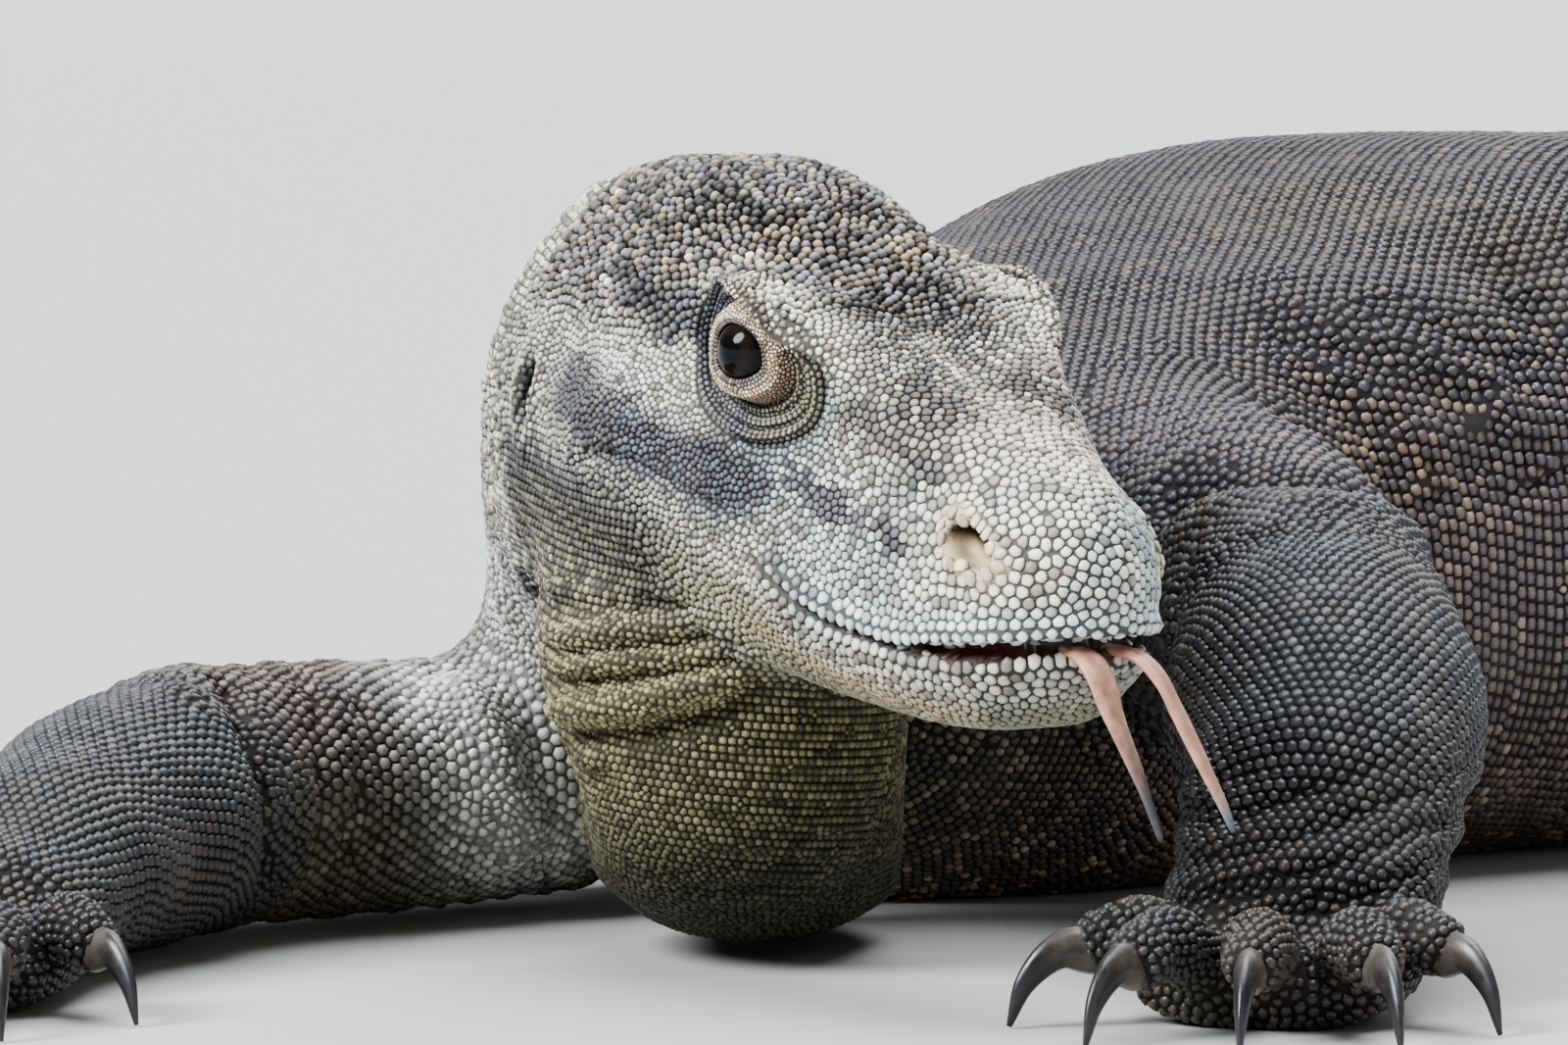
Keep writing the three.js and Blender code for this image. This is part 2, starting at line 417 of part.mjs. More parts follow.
// trunk in three lengths, tail in four, neck as one piece with the throat
const trunkCuts = [0, 5, 10, lastTrunk], tailCuts = [0, 6, 12, 18, axial.length - 1 - lastTrunk];
for (let i = 0; i < 3; i++) whole["trunk_" + ["front", "middle", "rear"][i]] = aboveFloor(solid(run(axial, trunkCuts[i], trunkCuts[i + 1], true, true)));
for (let i = 0; i < 4; i++) whole["tail_" + (i + 1)] = aboveFloor(solid(run(axial, lastTrunk + tailCuts[i], lastTrunk + tailCuts[i + 1], true, i < 3)));
// Headward parts
const trunkAllBig = solid(grown(skin(axial.slice(0, lastTrunk + 6)), GAP));
const trunkFrontCap = solid(grown(skin(axial.slice(0, 5)), GAP));
const headSolidBig = solid(inWorld(grown(geometry(headWhole), GAP / HS)));
whole.head = solid(inWorld(geometry(upperHead)));
whole.lower_jaw = solid(inWorld(geometry(lowerJaw)));
const neckRun = run(neckRings, 0, neckRings.length - 1, false, true);
let neck = solid(neckRun).add(solid(throat));
neck = aboveFloor(neck).subtract(headSolidBig).subtract(trunkFrontCap);
whole.neck = largest(neck);
const neckRoom = solid(grown(skin([...neckRings, axial[1], axial[2]]), GAP)).add(solid(grown(throat, GAP)));

const claws = {};
for (const [name, leg] of Object.entries(legs)) {
  const [up, low] = name.startsWith("fore") ? ["upper_arm", "forearm"] : ["thigh", "shin"];
  const foot = name.startsWith("fore") ? "hand" : "foot", side = name.split("_")[1];
  const upG = limb(leg.upper, M_LEG), lowG = limb(leg.lower, M_LEG), palmG = limb(leg.palm, M_LEG, 1.5, 2.3);
  let upper = aboveFloor(solid(upG)).subtract(trunkAllBig);
  if (name.startsWith("fore")) upper = upper.subtract(neckRoom);
  upper = largest(upper);
  const lower = largest(aboveFloor(solid(lowG)).subtract(solid(grown(upG, GAP))));
  let pad = solid(palmG);
  const nails = [];
  leg.toes.forEach((t, i) => { const [toe, nail] = toeGeometry(t); pad = pad.add(solid(toe)); nails.push(nail); });
  pad = largest(aboveFloor(pad).subtract(solid(grown(lowG, GAP))).subtract(solid(grown(upG, GAP))));
  whole[`${up}_${side}`] = upper;
  whole[`${low}_${side}`] = lower;
  whole[`${foot}_${side}`] = pad;
  nails.forEach((n, i) => {
    let c = aboveFloor(solid(n));
    claws[`claw_${name}_${i + 1}`] = c;
  });
}
// origin: under the middle of the whole animal's box, on the floor
const everything = [...Object.values(whole), ...Object.values(claws), solid(inWorld(geometry(tongue)))];
const bb = everything.map((s) => s.boundingBox()).reduce((a, b) => ({ min: a.min.map((v, i) => Math.min(v, b.min[i])), max: a.max.map((v, i) => Math.max(v, b.max[i])) }));
const SHIFT = [-(bb.min[0] + bb.max[0]) / 2, -(bb.min[1] + bb.max[1]) / 2, -bb.min[2]];
for (const [name, raw] of Object.entries(whole)) {
  const s = raw.asOriginal().simplify(0.06);
  const color = name === "head" || name === "lower_jaw" ? hide.skinHead : name === "neck" ? hide.throat : hide.skinDark;
  put(name, s, color, 0.65);
}
for (const [name, s] of Object.entries(claws)) put(name, s, hide.claw, 0.4);
put("eye_left", inWorld(geometry(eyes.left)), hide.eye, 0.08);
put("eye_right", inWorld(geometry(eyes.right)), hide.eye, 0.08);
put("tongue", inWorld(geometry(tongue)), hide.tongue, 0.35);

export default model;
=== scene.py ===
# Komodo dragon: one skin with solid scales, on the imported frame. Blender 4.5, metres outside, millimetres inside.
import bpy, bmesh, math, time
import numpy as np
import openvdb
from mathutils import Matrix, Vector
from mathutils.bvhtree import BVHTree
from mathutils.kdtree import KDTree


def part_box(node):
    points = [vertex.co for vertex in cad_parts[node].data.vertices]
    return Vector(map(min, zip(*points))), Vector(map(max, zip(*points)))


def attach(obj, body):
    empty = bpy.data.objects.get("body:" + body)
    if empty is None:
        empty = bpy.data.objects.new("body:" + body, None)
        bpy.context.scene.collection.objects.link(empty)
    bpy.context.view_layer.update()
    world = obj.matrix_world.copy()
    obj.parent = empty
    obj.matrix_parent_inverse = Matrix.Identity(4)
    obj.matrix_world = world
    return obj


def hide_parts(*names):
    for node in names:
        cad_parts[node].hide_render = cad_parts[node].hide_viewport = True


T0 = time.time()
def tick(what):
    print(f"[{time.time() - T0:6.1f} s] {what}", flush=True)

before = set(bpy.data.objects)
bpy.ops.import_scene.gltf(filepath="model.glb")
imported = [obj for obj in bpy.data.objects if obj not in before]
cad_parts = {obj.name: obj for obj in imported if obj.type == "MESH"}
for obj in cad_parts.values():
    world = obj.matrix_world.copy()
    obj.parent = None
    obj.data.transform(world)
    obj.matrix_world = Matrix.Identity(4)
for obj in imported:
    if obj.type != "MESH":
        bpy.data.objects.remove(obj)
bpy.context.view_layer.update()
RNG = np.random.RandomState(7)

# ---- shape, in millimetres, in the animal's own working frame ---------------------------------
HEAD_LENGTH, HEAD_YAW, HEAD_PITCH, HEAD_ROLL = 191.0, 30.3, 10.0, 0.5
HEAD_AT = np.array([-22.4, 99.1, 119.5])
EYE = np.array([88.5, 35.6, 48.0])
EYE_R = 9.6
BELLY_SINK = 5.0
HS = HEAD_LENGTH / 200

def rot(axis, deg):
    a = math.radians(deg); c, s = math.cos(a), math.sin(a)
    return np.array({"x": [[1, 0, 0], [0, c, -s], [0, s, c]], "y": [[c, 0, s], [0, 1, 0], [-s, 0, c]], "z": [[c, -s, 0], [s, c, 0], [0, 0, 1]]}[axis])

HEAD_M = rot("z", HEAD_YAW - 90) @ rot("y", HEAD_PITCH) @ rot("x", HEAD_ROLL) * HS
HEAD_I = np.linalg.inv(HEAD_M)
def head_world(L): return np.asarray(L, float) @ HEAD_M.T + HEAD_AT
def head_local(P): return (np.asarray(P, float) - HEAD_AT) @ HEAD_I.T
def head_dir(d):
    v = np.asarray(d, float) @ HEAD_M.T
    return v / np.linalg.norm(v, axis=-1, keepdims=True)

# the row frame's origin, from where the CAD put the right eye
_lo, _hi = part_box("eye_right")
SHIFT = np.array([(a + b) / 2 * 1000 for a, b in zip(_lo, _hi)]) - head_world(EYE * [1, -1, 1])
SHIFT[2] = 0.0
def to_m(P): return (np.asarray(P, float) + SHIFT) / 1000

def srgb(r, g, b):
    c = np.array([r, g, b], float) / 255
    return np.where(c <= 0.04045, c / 12.92, ((c + 0.055) / 1.055) ** 2.4)
def smooth(a, b, t):
    u = np.clip((np.asarray(t, float) - a) / (b - a), 0, 1)
    return u * u * (3 - 2 * u)
def unit(v): return v / np.maximum(np.linalg.norm(v, axis=-1, keepdims=True), 1e-9)

def curve(keys):
    x = np.array([k[0] for k in keys], float); y = np.array([k[1] for k in keys], float); n = len(x)
    d = np.diff(y) / np.diff(x); m = np.zeros(n); m[0], m[-1] = d[0], d[-1]
    for i in range(1, n - 1):
        m[i] = 0 if d[i - 1] * d[i] <= 0 else 2 * d[i - 1] * d[i] / (d[i - 1] + d[i])
    def f(t):
        t = np.clip(np.asarray(t, float), x[0], x[-1])
        i = np.clip(np.searchsorted(x, t, side="right") - 1, 0, n - 2)
        h = x[i + 1] - x[i]; u = (t - x[i]) / h
        return y[i] * (1 + 2 * u) * (1 - u) ** 2 + m[i] * h * u * (1 - u) ** 2 + y[i + 1] * u * u * (3 - 2 * u) + m[i + 1] * h * u * u * (u - 1)
    return f

def spline(P, us, closed=False):
    """Centripetal Catmull-Rom through P (K, ..., 3) at parameters us in [0, K - 1], or [0, K) when closed."""
    P = np.asarray(P, float); K = len(P); out = []
    def at(j):
        if closed: return P[j % K]
        return P[j] if 0 <= j < K else (2 * P[0] - P[1] if j < 0 else 2 * P[-1] - P[-2])
    for u in us:
        i = int(math.floor(u)) if closed else min(int(math.floor(u)), K - 2)
        t = u - i; p0, p1, p2, p3 = at(i - 1), at(i), at(i + 1), at(i + 2)
        d = lambda a, b: np.linalg.norm(a - b, axis=-1, keepdims=True) ** 0.5
        d0, d1, d2 = d(p0, p1), d(p1, p2), d(p2, p3)
        d1 = np.where(d1 < 1e-4, 1, d1); d0 = np.where(d0 < 1e-4, d1, d0); d2 = np.where(d2 < 1e-4, d1, d2)
        a = ((p1 - p0) / d0 - (p2 - p0) / (d0 + d1) + (p2 - p1) / d1) * d1
        b = ((p2 - p1) / d1 - (p3 - p1) / (d1 + d2) + (p3 - p2) / d2) * d1
        out.append(p1 + a * t + (-3 * p1 + 3 * p2 - 2 * a - b) * t * t + (2 * p1 - 2 * p2 + a + b) * t ** 3)
    return np.array(out)

H = dict(
    top=curve([[-60, 58], [-30, 67], [0, 76.5], [25, 80], [50, 78.5], [75, 70], [95, 62], [115, 55], [135, 47.5], [155, 42], [172, 38], [188, 33], [200, 28]]),
    crown=curve([[-60, 2], [0, 3], [60, 2], [85, -1.5], [110, 1], [150, 2], [200, 1.5]]),
    browY=curve([[-60, 30], [0, 36], [40, 38], [62, 37], [80, 40.5], [98, 40], [110, 34.5], [125, 29], [150, 24], [165, 20.5], [180, 17.5], [200, 13]]),
    browZ=curve([[-60, 40], [0, 54], [40, 59], [62, 58.5], [80, 63], [96, 61.5], [110, 55.5], [122, 50], [135, 43.5], [150, 36.5], [170, 29.5], [200, 23]]),
    hollow=curve([[-60, 0], [0, 2], [40, 1], [70, -2], [88, -4], [105, -3], [125, -1], [150, 0.5], [200, 0.5]]),
    sideY=curve([[-60, 45], [-20, 50], [0, 54], [20, 55.5], [45, 53], [65, 48], [88, 43.5], [110, 38], [135, 33], [160, 29], [175, 26.5], [186, 24], [200, 19]]),
    sideZ=curve([[-60, 12], [0, 20], [30, 22], [60, 24], [88, 22], [110, 17], [140, 11], [170, 11], [200, 11]]),
    lipY=curve([[-60, 44], [-20, 49], [0, 52], [20, 53], [45, 51], [65, 47.5], [88, 43.5], [110, 38.5], [135, 34], [160, 30.5], [175, 27], [186, 23.5], [200, 18]]),
    lipZ=curve([[-60, 2], [0, 8], [30, 11], [58, 12.4], [74, 11.2], [86, 8.4], [95, 4.8], [103, 0], [112, -4.4], [121, -7.4], [131, -8.8], [143, -9], [158, -7.8], [172, -5.6], [186, -2.6], [197, 0.4], [200, 1]]),
    jawY=curve([[-60, 38], [0, 47], [40, 48], [70, 43], [100, 37.5], [130, 33], [155, 29.5], [170, 25], [182, 19], [190, 13], [200, 6]]),
    jawZ=curve([[-60, -16], [0, -10], [40, -8], [70, -8], [90, -12], [120, -18], [150, -19], [175, -16], [200, -8]]),
    chin=curve([[-60, -46], [0, -44], [40, -38], [80, -35], [120, -33], [150, -30.5], [170, -27], [182, -22], [191, -15], [200, -6]]),
)
SNOUT_ROUND, SNOUT_Z = 25.0, 11.0
NR = 96
def head_rings(xs, n=NR):
    """Rings of the head at local xs, in the working frame: (len(xs), n, 3)."""
    x = np.asarray(xs, float)
    t = np.maximum(0, (x - (200 - SNOUT_ROUND)) / SNOUT_ROUND)
    s = np.sqrt(np.maximum(0, 1 - t ** 2.3)); su = np.sqrt(np.maximum(0, 1 - t ** 3.2))
    up = lambda z: SNOUT_Z + (z - SNOUT_Z) * su
    zt, yb, zb, ys, zs = H["top"](x), H["browY"](x), H["browZ"](x), H["sideY"](x), H["sideZ"](x)
    left = [(0 * x, up(zt)), (0.52 * yb * s, up(zt * 0.7 + zb * 0.3 + H["crown"](x))), (yb * s, up(zb)),
            (((yb + ys) / 2 + H["hollow"](x)) * s, up((zb + zs) / 2 + 1)), (ys * s, up(zs)), (H["lipY"](x) * s, up(H["lipZ"](x))),
            (H["jawY"](x) * s, up(H["jawZ"](x))), (0.62 * H["jawY"](x) * s, up(H["chin"](x) * 0.84 + H["jawZ"](x) * 0.16)), (0 * x, up(H["chin"](x)))]
    pts = [np.stack([x, y, z], -1) for y, z in left] + [np.stack([x, -y, z], -1) for y, z in left[1:-1][::-1]]
    loop = spline(np.array(pts), [16 * j / n for j in range(n)], closed=True)
    return head_world(loop.transpose(1, 0, 2))

def body_ring(x, y, heading, w, z_top, z_bot, square, lean, mid, n=NR):
    h = math.radians(heading); f = np.array([math.cos(h), math.sin(h), 0]); side = np.array([f[1], -f[0], 0])
    zc = z_bot + (z_top - z_bot) * mid; a = 2 * np.pi * np.arange(n) / n; c, s = np.cos(a), np.sin(a); e = 2 / square
    yy = np.sign(s) * np.abs(s) ** e * w; zz = np.sign(c) * np.abs(c) ** e * np.where(c > 0, z_top - zc, zc - z_bot)
    return np.array([x, y, zc]) + zz[:, None] * [0, 0, 1] + yy[:, None] * side - (lean * zz / 100)[:, None] * f

TRUNK = [
    [25, 240, 62, 92, 141, -BELLY_SINK, 2.2, 18, 0.42],
    [80, 316, 52, 118, 163, -BELLY_SINK, 2.5, 8, 0.45],
    [150, 400, 46, 145, 186, -BELLY_SINK, 2.9, 0, 0.46],
    [228, 466, 38, 150, 186, -BELLY_SINK, 2.6, 0, 0.46],
    [318, 524, 29, 153, 188, -BELLY_SINK, 2.4, 0, 0.46],
    [415, 569, 21, 148, 184, -BELLY_SINK, 2.3, 0, 0.46],
    [510, 601, 17, 128, 174, -BELLY_SINK, 2.2, 0, 0.46],
    [600, 627, 15, 100, 158, -BELLY_SINK, 2.1, 0, 0.46],
]
tail_heading = curve([[0, 15], [300, -6], [650, -38], [1000, -34], [1330, 4]])
tail_w = curve([[0, 102], [60, 84], [140, 62], [300, 44], [550, 31], [800, 21], [1050, 12.5], [1250, 6], [1330, 3]])
tail_h = curve([[0, 160], [60, 142], [140, 118], [300, 92], [550, 68], [800, 47], [1050, 29], [1250, 14], [1330, 7]])
def tail_at(s):
    x, y = TRUNK[-1][:2]; i = 0.0
    while i < s:
        st = min(5.0, s - i); h = math.radians(float(tail_heading(i + st / 2))); x += math.cos(h) * st; y += math.sin(h) * st; i += 5.0
    return x, y
def tail_ring(s):
    x, y = tail_at(s)
    return body_ring(x, y, float(tail_heading(s)), float(tail_w(s)), float(tail_h(s)), -BELLY_SINK + s * 0.02 if s < 200 else -1, 2.0, 0, 0.46)

def grow(keys, step):
    """Key rings to a fine run of rings about step apart."""
    K = np.array(keys); us = []
    for i in range(len(K) - 1):
        m = max(2, int(np.ceil(np.linalg.norm(K[i + 1].mean(0) - K[i].mean(0)) / step)))
        us += [i + j / m for j in range(m)]
    return spline(K, us + [len(K) - 1])

neck_keys = [head_rings([-14.47])[0], head_rings([-30])[0], body_ring(-18, 160, 78, 57, 166, 40, 2.1, 30, 0.42), body_ring(-2, 198, 70, 75, 156, 4, 2.1, 24, 0.38)]
trunk_keys = [body_ring(*k) for k in TRUNK]
tail_keys = [tail_ring(s) for s in [90, 190, 300, 430, 560, 690, 820, 950, 1080, 1190, 1280, 1330]]
head_run = head_rings(np.concatenate([[199.97, 199.8, 199.2, 198.2, 196.8, 195, 193, 190.5], np.arange(188, -14, -2.0)]))
_back = head_rings(np.arange(-14, -46, -4.0)); _c = _back.mean(1, keepdims=True)
head_run = np.concatenate([head_run, _c + (_back - _c) * np.linspace(0.985, 0.72, len(_back))[:, None, None]])   # runs on inside the neck
body_run = grow(neck_keys + trunk_keys + tail_keys, 6.0)
neck_part = body_run[: int(np.argmin(np.linalg.norm(body_run.mean(1) - trunk_keys[0].mean(0), axis=1))) + 1]

THROAT = [[108, -17, 84, 40, 40], [88, -15, 78, 44, 46], [66, -15, 82, 44, 50], [44, -13, 92, 43, 52], [24, -10, 108, 41, 52], [8, -6, 124, 34, 44], [2, -4, 132, 26, 34]]
_t = 2 * np.pi * np.arange(72) / 72
throat_run = grow([np.stack([x + a * np.cos(_t), y + b * np.sin(_t), z + (y - 95 + b * np.sin(_t)) * 0.18], -1) for z, x, y, a, b in THROAT], 3.0)

def limb_rings(keys, n=40, step=4.0, square=2.0, ends=True):
    k = np.array(keys, float); axis = k[:, :3]
    m = max(4, int(np.linalg.norm(np.diff(axis, axis=0), axis=1).sum() / step)); us = np.linspace(0, len(k) - 1, m + 1)
    pts = spline(axis, us); h = 1e-3
    tan = unit(spline(axis, np.minimum(us + h, len(k) - 1)) - spline(axis, np.maximum(us - h, 0)))
    def ring(p, t, a, b):
        up = np.array([0, 0, 1.0]) - t * t[2]
        if np.linalg.norm(up) < 0.25: up = np.array([0, 1.0, 0]) - t * t[1]
        up /= np.linalg.norm(up); side = np.cross(up, t); w = 2 * np.pi * np.arange(n) / n; c, s = np.cos(w), np.sin(w); e = 2 / square
        return p + (np.sign(c) * np.abs(c) ** e * b)[:, None] * up + (np.sign(s) * np.abs(s) ** e * a)[:, None] * side
    i = np.minimum(us.astype(int), len(k) - 2); f = us - i; g = f * f * (3 - 2 * f)
    ra = k[i, 3] + (k[i + 1, 3] - k[i, 3]) * g; rb = k[i, 4] + (k[i + 1, 4] - k[i, 4]) * g
    rings = [ring(pts[j], tan[j], ra[j], rb[j]) for j in range(m + 1)]
    if ends:
        for end, sgn in ((0, -1), (m, 1)):
            r = (ra[end] + rb[end]) / 2
            cap = [ring(pts[end] + tan[end] * sgn * 0.72 * r * math.sin(q), tan[end], ra[end] * math.cos(q) ** 0.8, rb[end] * math.cos(q) ** 0.8) for q in (0.45, 0.85, 1.2, 1.45)]
            rings = cap[::-1] + rings if sgn < 0 else rings + cap
    return np.array(rings)

LEGS = {
    "fore_left": dict(
        upper=[[88, 226, 88, 42, 44], [108, 168, 86, 38, 41], [122, 112, 80, 36, 36], [124, 82, 76, 34, 34]],
        lower=[[125, 76, 75, 35, 35], [126, 44, 63, 38, 37], [124, 12, 46, 33, 32], [118, -16, 27, 31, 20]],
        palm=[[120, -2, 23, 30, 17], [114, -24, 13, 33, 14], [108, -42, 9, 31, 10]],
        toes=[(90, -34, 16, 200, 22, 8.0, 23), (92, -50, 16, 236, 26, 8.2, 23), (108, -54, 16, 260, 28, 8.2, 23), (126, -50, 16, 282, 26, 8.2, 23), (136, -34, 16, 308, 20, 7.8, 21)]),
    "fore_right": dict(
        upper=[[-60, 208, 33, 36, 30], [-92, 182, 33, 35, 31], [-124, 152, 34, 34, 32], [-146, 128, 35, 33, 31]],
        lower=[[-144, 126, 34, 33, 32], [-158, 94, 32, 34, 31], [-171, 56, 27, 29, 26], [-181, 20, 20, 24, 17]],
        palm=[[-179, 30, 18, 24, 15], [-186, 4, 11.4, 28, 12], [-192, -18, 9, 27, 10]],
        toes=[(-168, -12, 15, 304, 22, 7.8, 21), (-180, -28, 15, 278, 27, 8.0, 23), (-196, -32, 15, 256, 29, 8.0, 23), (-212, -26, 15, 234, 27, 7.8, 22), (-216, -8, 15, 204, 22, 7.4, 20)]),
    "hind_left": dict(
        upper=[[584, 572, 72, 56, 54], [556, 506, 64, 50, 48], [528, 444, 54, 42, 40], [520, 418, 50, 38, 38]],
        lower=[[520, 424, 48, 38, 38], [548, 396, 44, 37, 36], [586, 362, 34, 28, 28], [612, 338, 24, 22, 20]],
        palm=[[606, 344, 19, 23, 16], [582, 320, 11.4, 27, 12], [560, 300, 9, 27, 10]],
        toes=[(580, 288, 14, 262, 24, 7.8, 21), (564, 284, 14, 246, 34, 8.2, 23), (552, 290, 14, 228, 44, 8.4, 23), (544, 302, 14, 210, 50, 8.4, 23), (560, 326, 14, 178, 34, 7.8, 21)]),
    "hind_right": dict(
        upper=[[548, 694, 72, 56, 54], [496, 742, 64, 50, 48], [450, 792, 54, 42, 40], [436, 814, 50, 38, 38]],
        lower=[[438, 810, 48, 38, 38], [472, 828, 44, 37, 36], [518, 848, 34, 28, 28], [550, 860, 24, 22, 20]],
        palm=[[542, 856, 19, 23, 16], [526, 886, 11.4, 27, 12], [514, 908, 9, 27, 10]],
        toes=[(534, 910, 14, 78, 24, 7.8, 21), (522, 920, 14, 92, 34, 8.2, 23), (508, 922, 14, 112, 44, 8.4, 23), (496, 916, 14, 132, 50, 8.4, 23), (494, 894, 14, 168, 34, 7.8, 21)]),
}
GAP = 0.45
def toe_rings(x, y, z, to, ln, r, claw, n=24, m=20):
    a = math.radians(to); f = np.array([math.cos(a), math.sin(a), 0]); side = np.array([-f[1], f[0], 0])
    P = lambda d, h: np.array([x + f[0] * d, y + f[1] * d, h])
    path = np.array([P(-12, z - 4), P(0, z), P(ln * 0.4, z + 4.5), P(ln * 0.76, z + 4), P(ln, z + 0.5)])
    rr = np.array([r * 0.86, r * 1.02, r * 1.08, r, r * 0.84])
    us = np.linspace(0, 4, m + 1); p = spline(path, us); h = 1e-3
    t = unit(spline(path, np.minimum(us + h, 4)) - spline(path, np.maximum(us - h, 0)))
    R = np.interp(us, range(5), rr); w = 2 * np.pi * np.arange(n) / n
    up = unit(np.cross(t, side))
    # knuckles: a little thicker at the joints
    R = R * (1 + 0.06 * np.cos((us - 2.1) * 4.2) * (us > 0.8))
    rings = p[:, None] + np.cos(w)[None, :, None] * up[:, None] * R[:, None, None] + np.sin(w)[None, :, None] * side * R[:, None, None]
    tip, t1 = p[-1], t[-1]
    cap = [tip + t1 * R[-1] * 0.35 * math.sin(q) + (np.cos(w)[:, None] * up[-1] + np.sin(w)[:, None] * side) * R[-1] * math.cos(q) ** 0.7 for q in (0.6, 1.1, 1.4)]
    rings = np.concatenate([rings, cap])
    # the claw
    c0 = tip + t1 * (GAP - 1.2)
    hook = np.array([c0, c0 + f * claw * 0.36 + [0, 0, 0.4], c0 + f * claw * 0.72, c0 + f * claw * 0.9])
    hook[2, 2] = c0[2] * 0.62; hook[3, 2] = 0.55
    us = np.linspace(0, 3, 19); q = spline(hook, us)
    tq = unit(spline(hook, np.minimum(us + h, 3)) - spline(hook, np.maximum(us - h, 0)))
    upq = unit(np.cross(tq, side)); u = us / 3
    Rq = r * 0.62 * (1 - 0.88 * u ** 1.3)
    w = 2 * np.pi * np.arange(14) / 14
    prof = np.stack([np.cos(w) * 1.12, np.sin(w) * 0.74 * (1 - 0.16 * np.cos(w))], -1)
    nail = q[:, None] + prof[None, :, 0, None] * upq[:, None] * Rq[:, None, None] + prof[None, :, 1, None] * side * Rq[:, None, None]
    return rings, nail

PARTS = {"head": head_run, "body": body_run, "throat": throat_run}
CLAWS = {}
for leg, d in LEGS.items():
    PARTS[leg + "_upper"] = limb_rings(d["upper"]); PARTS[leg + "_lower"] = limb_rings(d["lower"])
    PARTS[leg + "_palm"] = limb_rings(d["palm"], square=2.3)
    for i, t in enumerate(d["toes"]):
        PARTS[f"{leg}_toe{i + 1}"], CLAWS[f"claw_{leg}_{i + 1}"] = toe_rings(*t)

def closed(rings):
    """Points, triangles and quads of a closed run of rings."""
    R, n = rings.shape[:2]; j = np.arange(n); k = (j + 1) % n
    a = (np.arange(R - 1) * n)[:, None]
    quads = np.stack([a + j, a + k, a + k + n, a + j + n], -1).reshape(-1, 4)
    pts = np.concatenate([rings.reshape(-1, 3), rings[:1].mean(1), rings[-1:].mean(1)])
    tris = np.concatenate([np.stack([np.full(n, R * n), k, j], -1), np.stack([np.full(n, R * n + 1), (R - 1) * n + j, (R - 1) * n + k], -1)])
    v = pts[quads[:, [0, 1, 2]]]; w = pts[quads[:, [0, 2, 3]]]
    vol = np.einsum("ij,ij->", v[:, 0], np.cross(v[:, 1], v[:, 2])) + np.einsum("ij,ij->", w[:, 0], np.cross(w[:, 1], w[:, 2]))
    v = pts[tris]; vol += np.einsum("ij,ij->", v[:, 0], np.cross(v[:, 1], v[:, 2]))
    if vol < 0: quads, tris = quads[:, ::-1], tris[:, ::-1]
    return pts, tris, quads

# ---- distance fields ---------------------------------------------------------------------------
BG = 24.0
def level(rings, voxel):
    pts, tris, quads = closed(rings)
    g = openvdb.FloatGrid.createLevelSetFromPolygons(np.ascontiguousarray(pts, np.float32), triangles=np.ascontiguousarray(tris, np.uint32),
        quads=np.ascontiguousarray(quads, np.uint32), transform=openvdb.createLinearTransform(voxelSize=voxel), halfWidth=BG / voxel)
    lo, hi = g.evalActiveVoxelBoundingBox()
    arr = np.empty([h - l + 1 for l, h in zip(lo, hi)], np.float32)
    g.copyToArray(arr, ijk=lo)
    return np.array(lo), arr, voxel

COARSE = 3.4
fields = {k: level(r, COARSE) for k, r in PARTS.items()}
fine = {k: level(PARTS[k], 1.6) for k in PARTS if k in ("head", "throat") or "toe" in k or "palm" in k}
fine["neck"] = level(neck_part, 1.6)
tick("fields")

def smin(a, b, k):
    h = np.maximum(k - np.abs(a - b), 0) / k
    return np.minimum(a, b) - h * h * (k / 4)

class Lattice:
    def __init__(self):
        self.lo = np.min([f[0] for f in fields.values()], 0) - 2
        self.hi = np.max([f[0] + np.array(f[1].shape) for f in fields.values()], 0) + 2
    def full(self): return np.full(self.hi - self.lo, BG, np.float32)
    def get(self, name):
        lo, arr, _ = fields[name]; o = lo - self.lo
        return tuple(slice(a, a + n) for a, n in zip(o, arr.shape)), arr

def trilinear(field, P):
    lo, A, v = field
    q = P / v - lo; n = np.array(A.shape)
    ok = np.all((q >= 0) & (q < n - 1), axis=1); idx = np.nonzero(ok)[0]; q = q[idx]
    i = q.astype(int); f = (q - i).astype(np.float32); flat = A.ravel(); s1, s0 = n[2], n[1] * n[2]
    b = i[:, 0] * s0 + i[:, 1] * s1 + i[:, 2]
    x, y, z = f.T; g = lambda o: flat[b + o]
    c0 = (g(0) * (1 - z) + g(1) * z) * (1 - y) + (g(s1) * (1 - z) + g(s1 + 1) * z) * y
    c1 = (g(s0) * (1 - z) + g(s0 + 1) * z) * (1 - y) + (g(s0 + s1) * (1 - z) + g(s0 + s1 + 1) * z) * y
    return idx, c0 * (1 - x) + c1 * x

class Points:
    def __init__(self, P): self.P = P
    def full(self): return np.full(len(self.P), BG, np.float32)
    def get(self, name): return trilinear(fine.get(name, fields[name]), self.P)

def blend(dom):
    """The whole animal's flesh as one smooth field."""
    def into(D, name, k=0):
        ix, A = dom.get(name); D[ix] = smin(D[ix], A, k) if k else np.minimum(D[ix], A)
    D = dom.full(); into(D, "head"); into(D, "body", 5); into(D, "throat", 9)
    for leg in LEGS:
        into(D, leg + "_upper", 24 if leg != "fore_left" else 30)
        G = dom.full(); into(G, leg + "_palm")
        for i in range(5): into(G, f"{leg}_toe{i + 1}", 3)
        ix, A = dom.get(leg + "_lower")
        G[ix] = smin(G[ix], A, 8)
        D[:] = smin(D, G, 7)
    return D

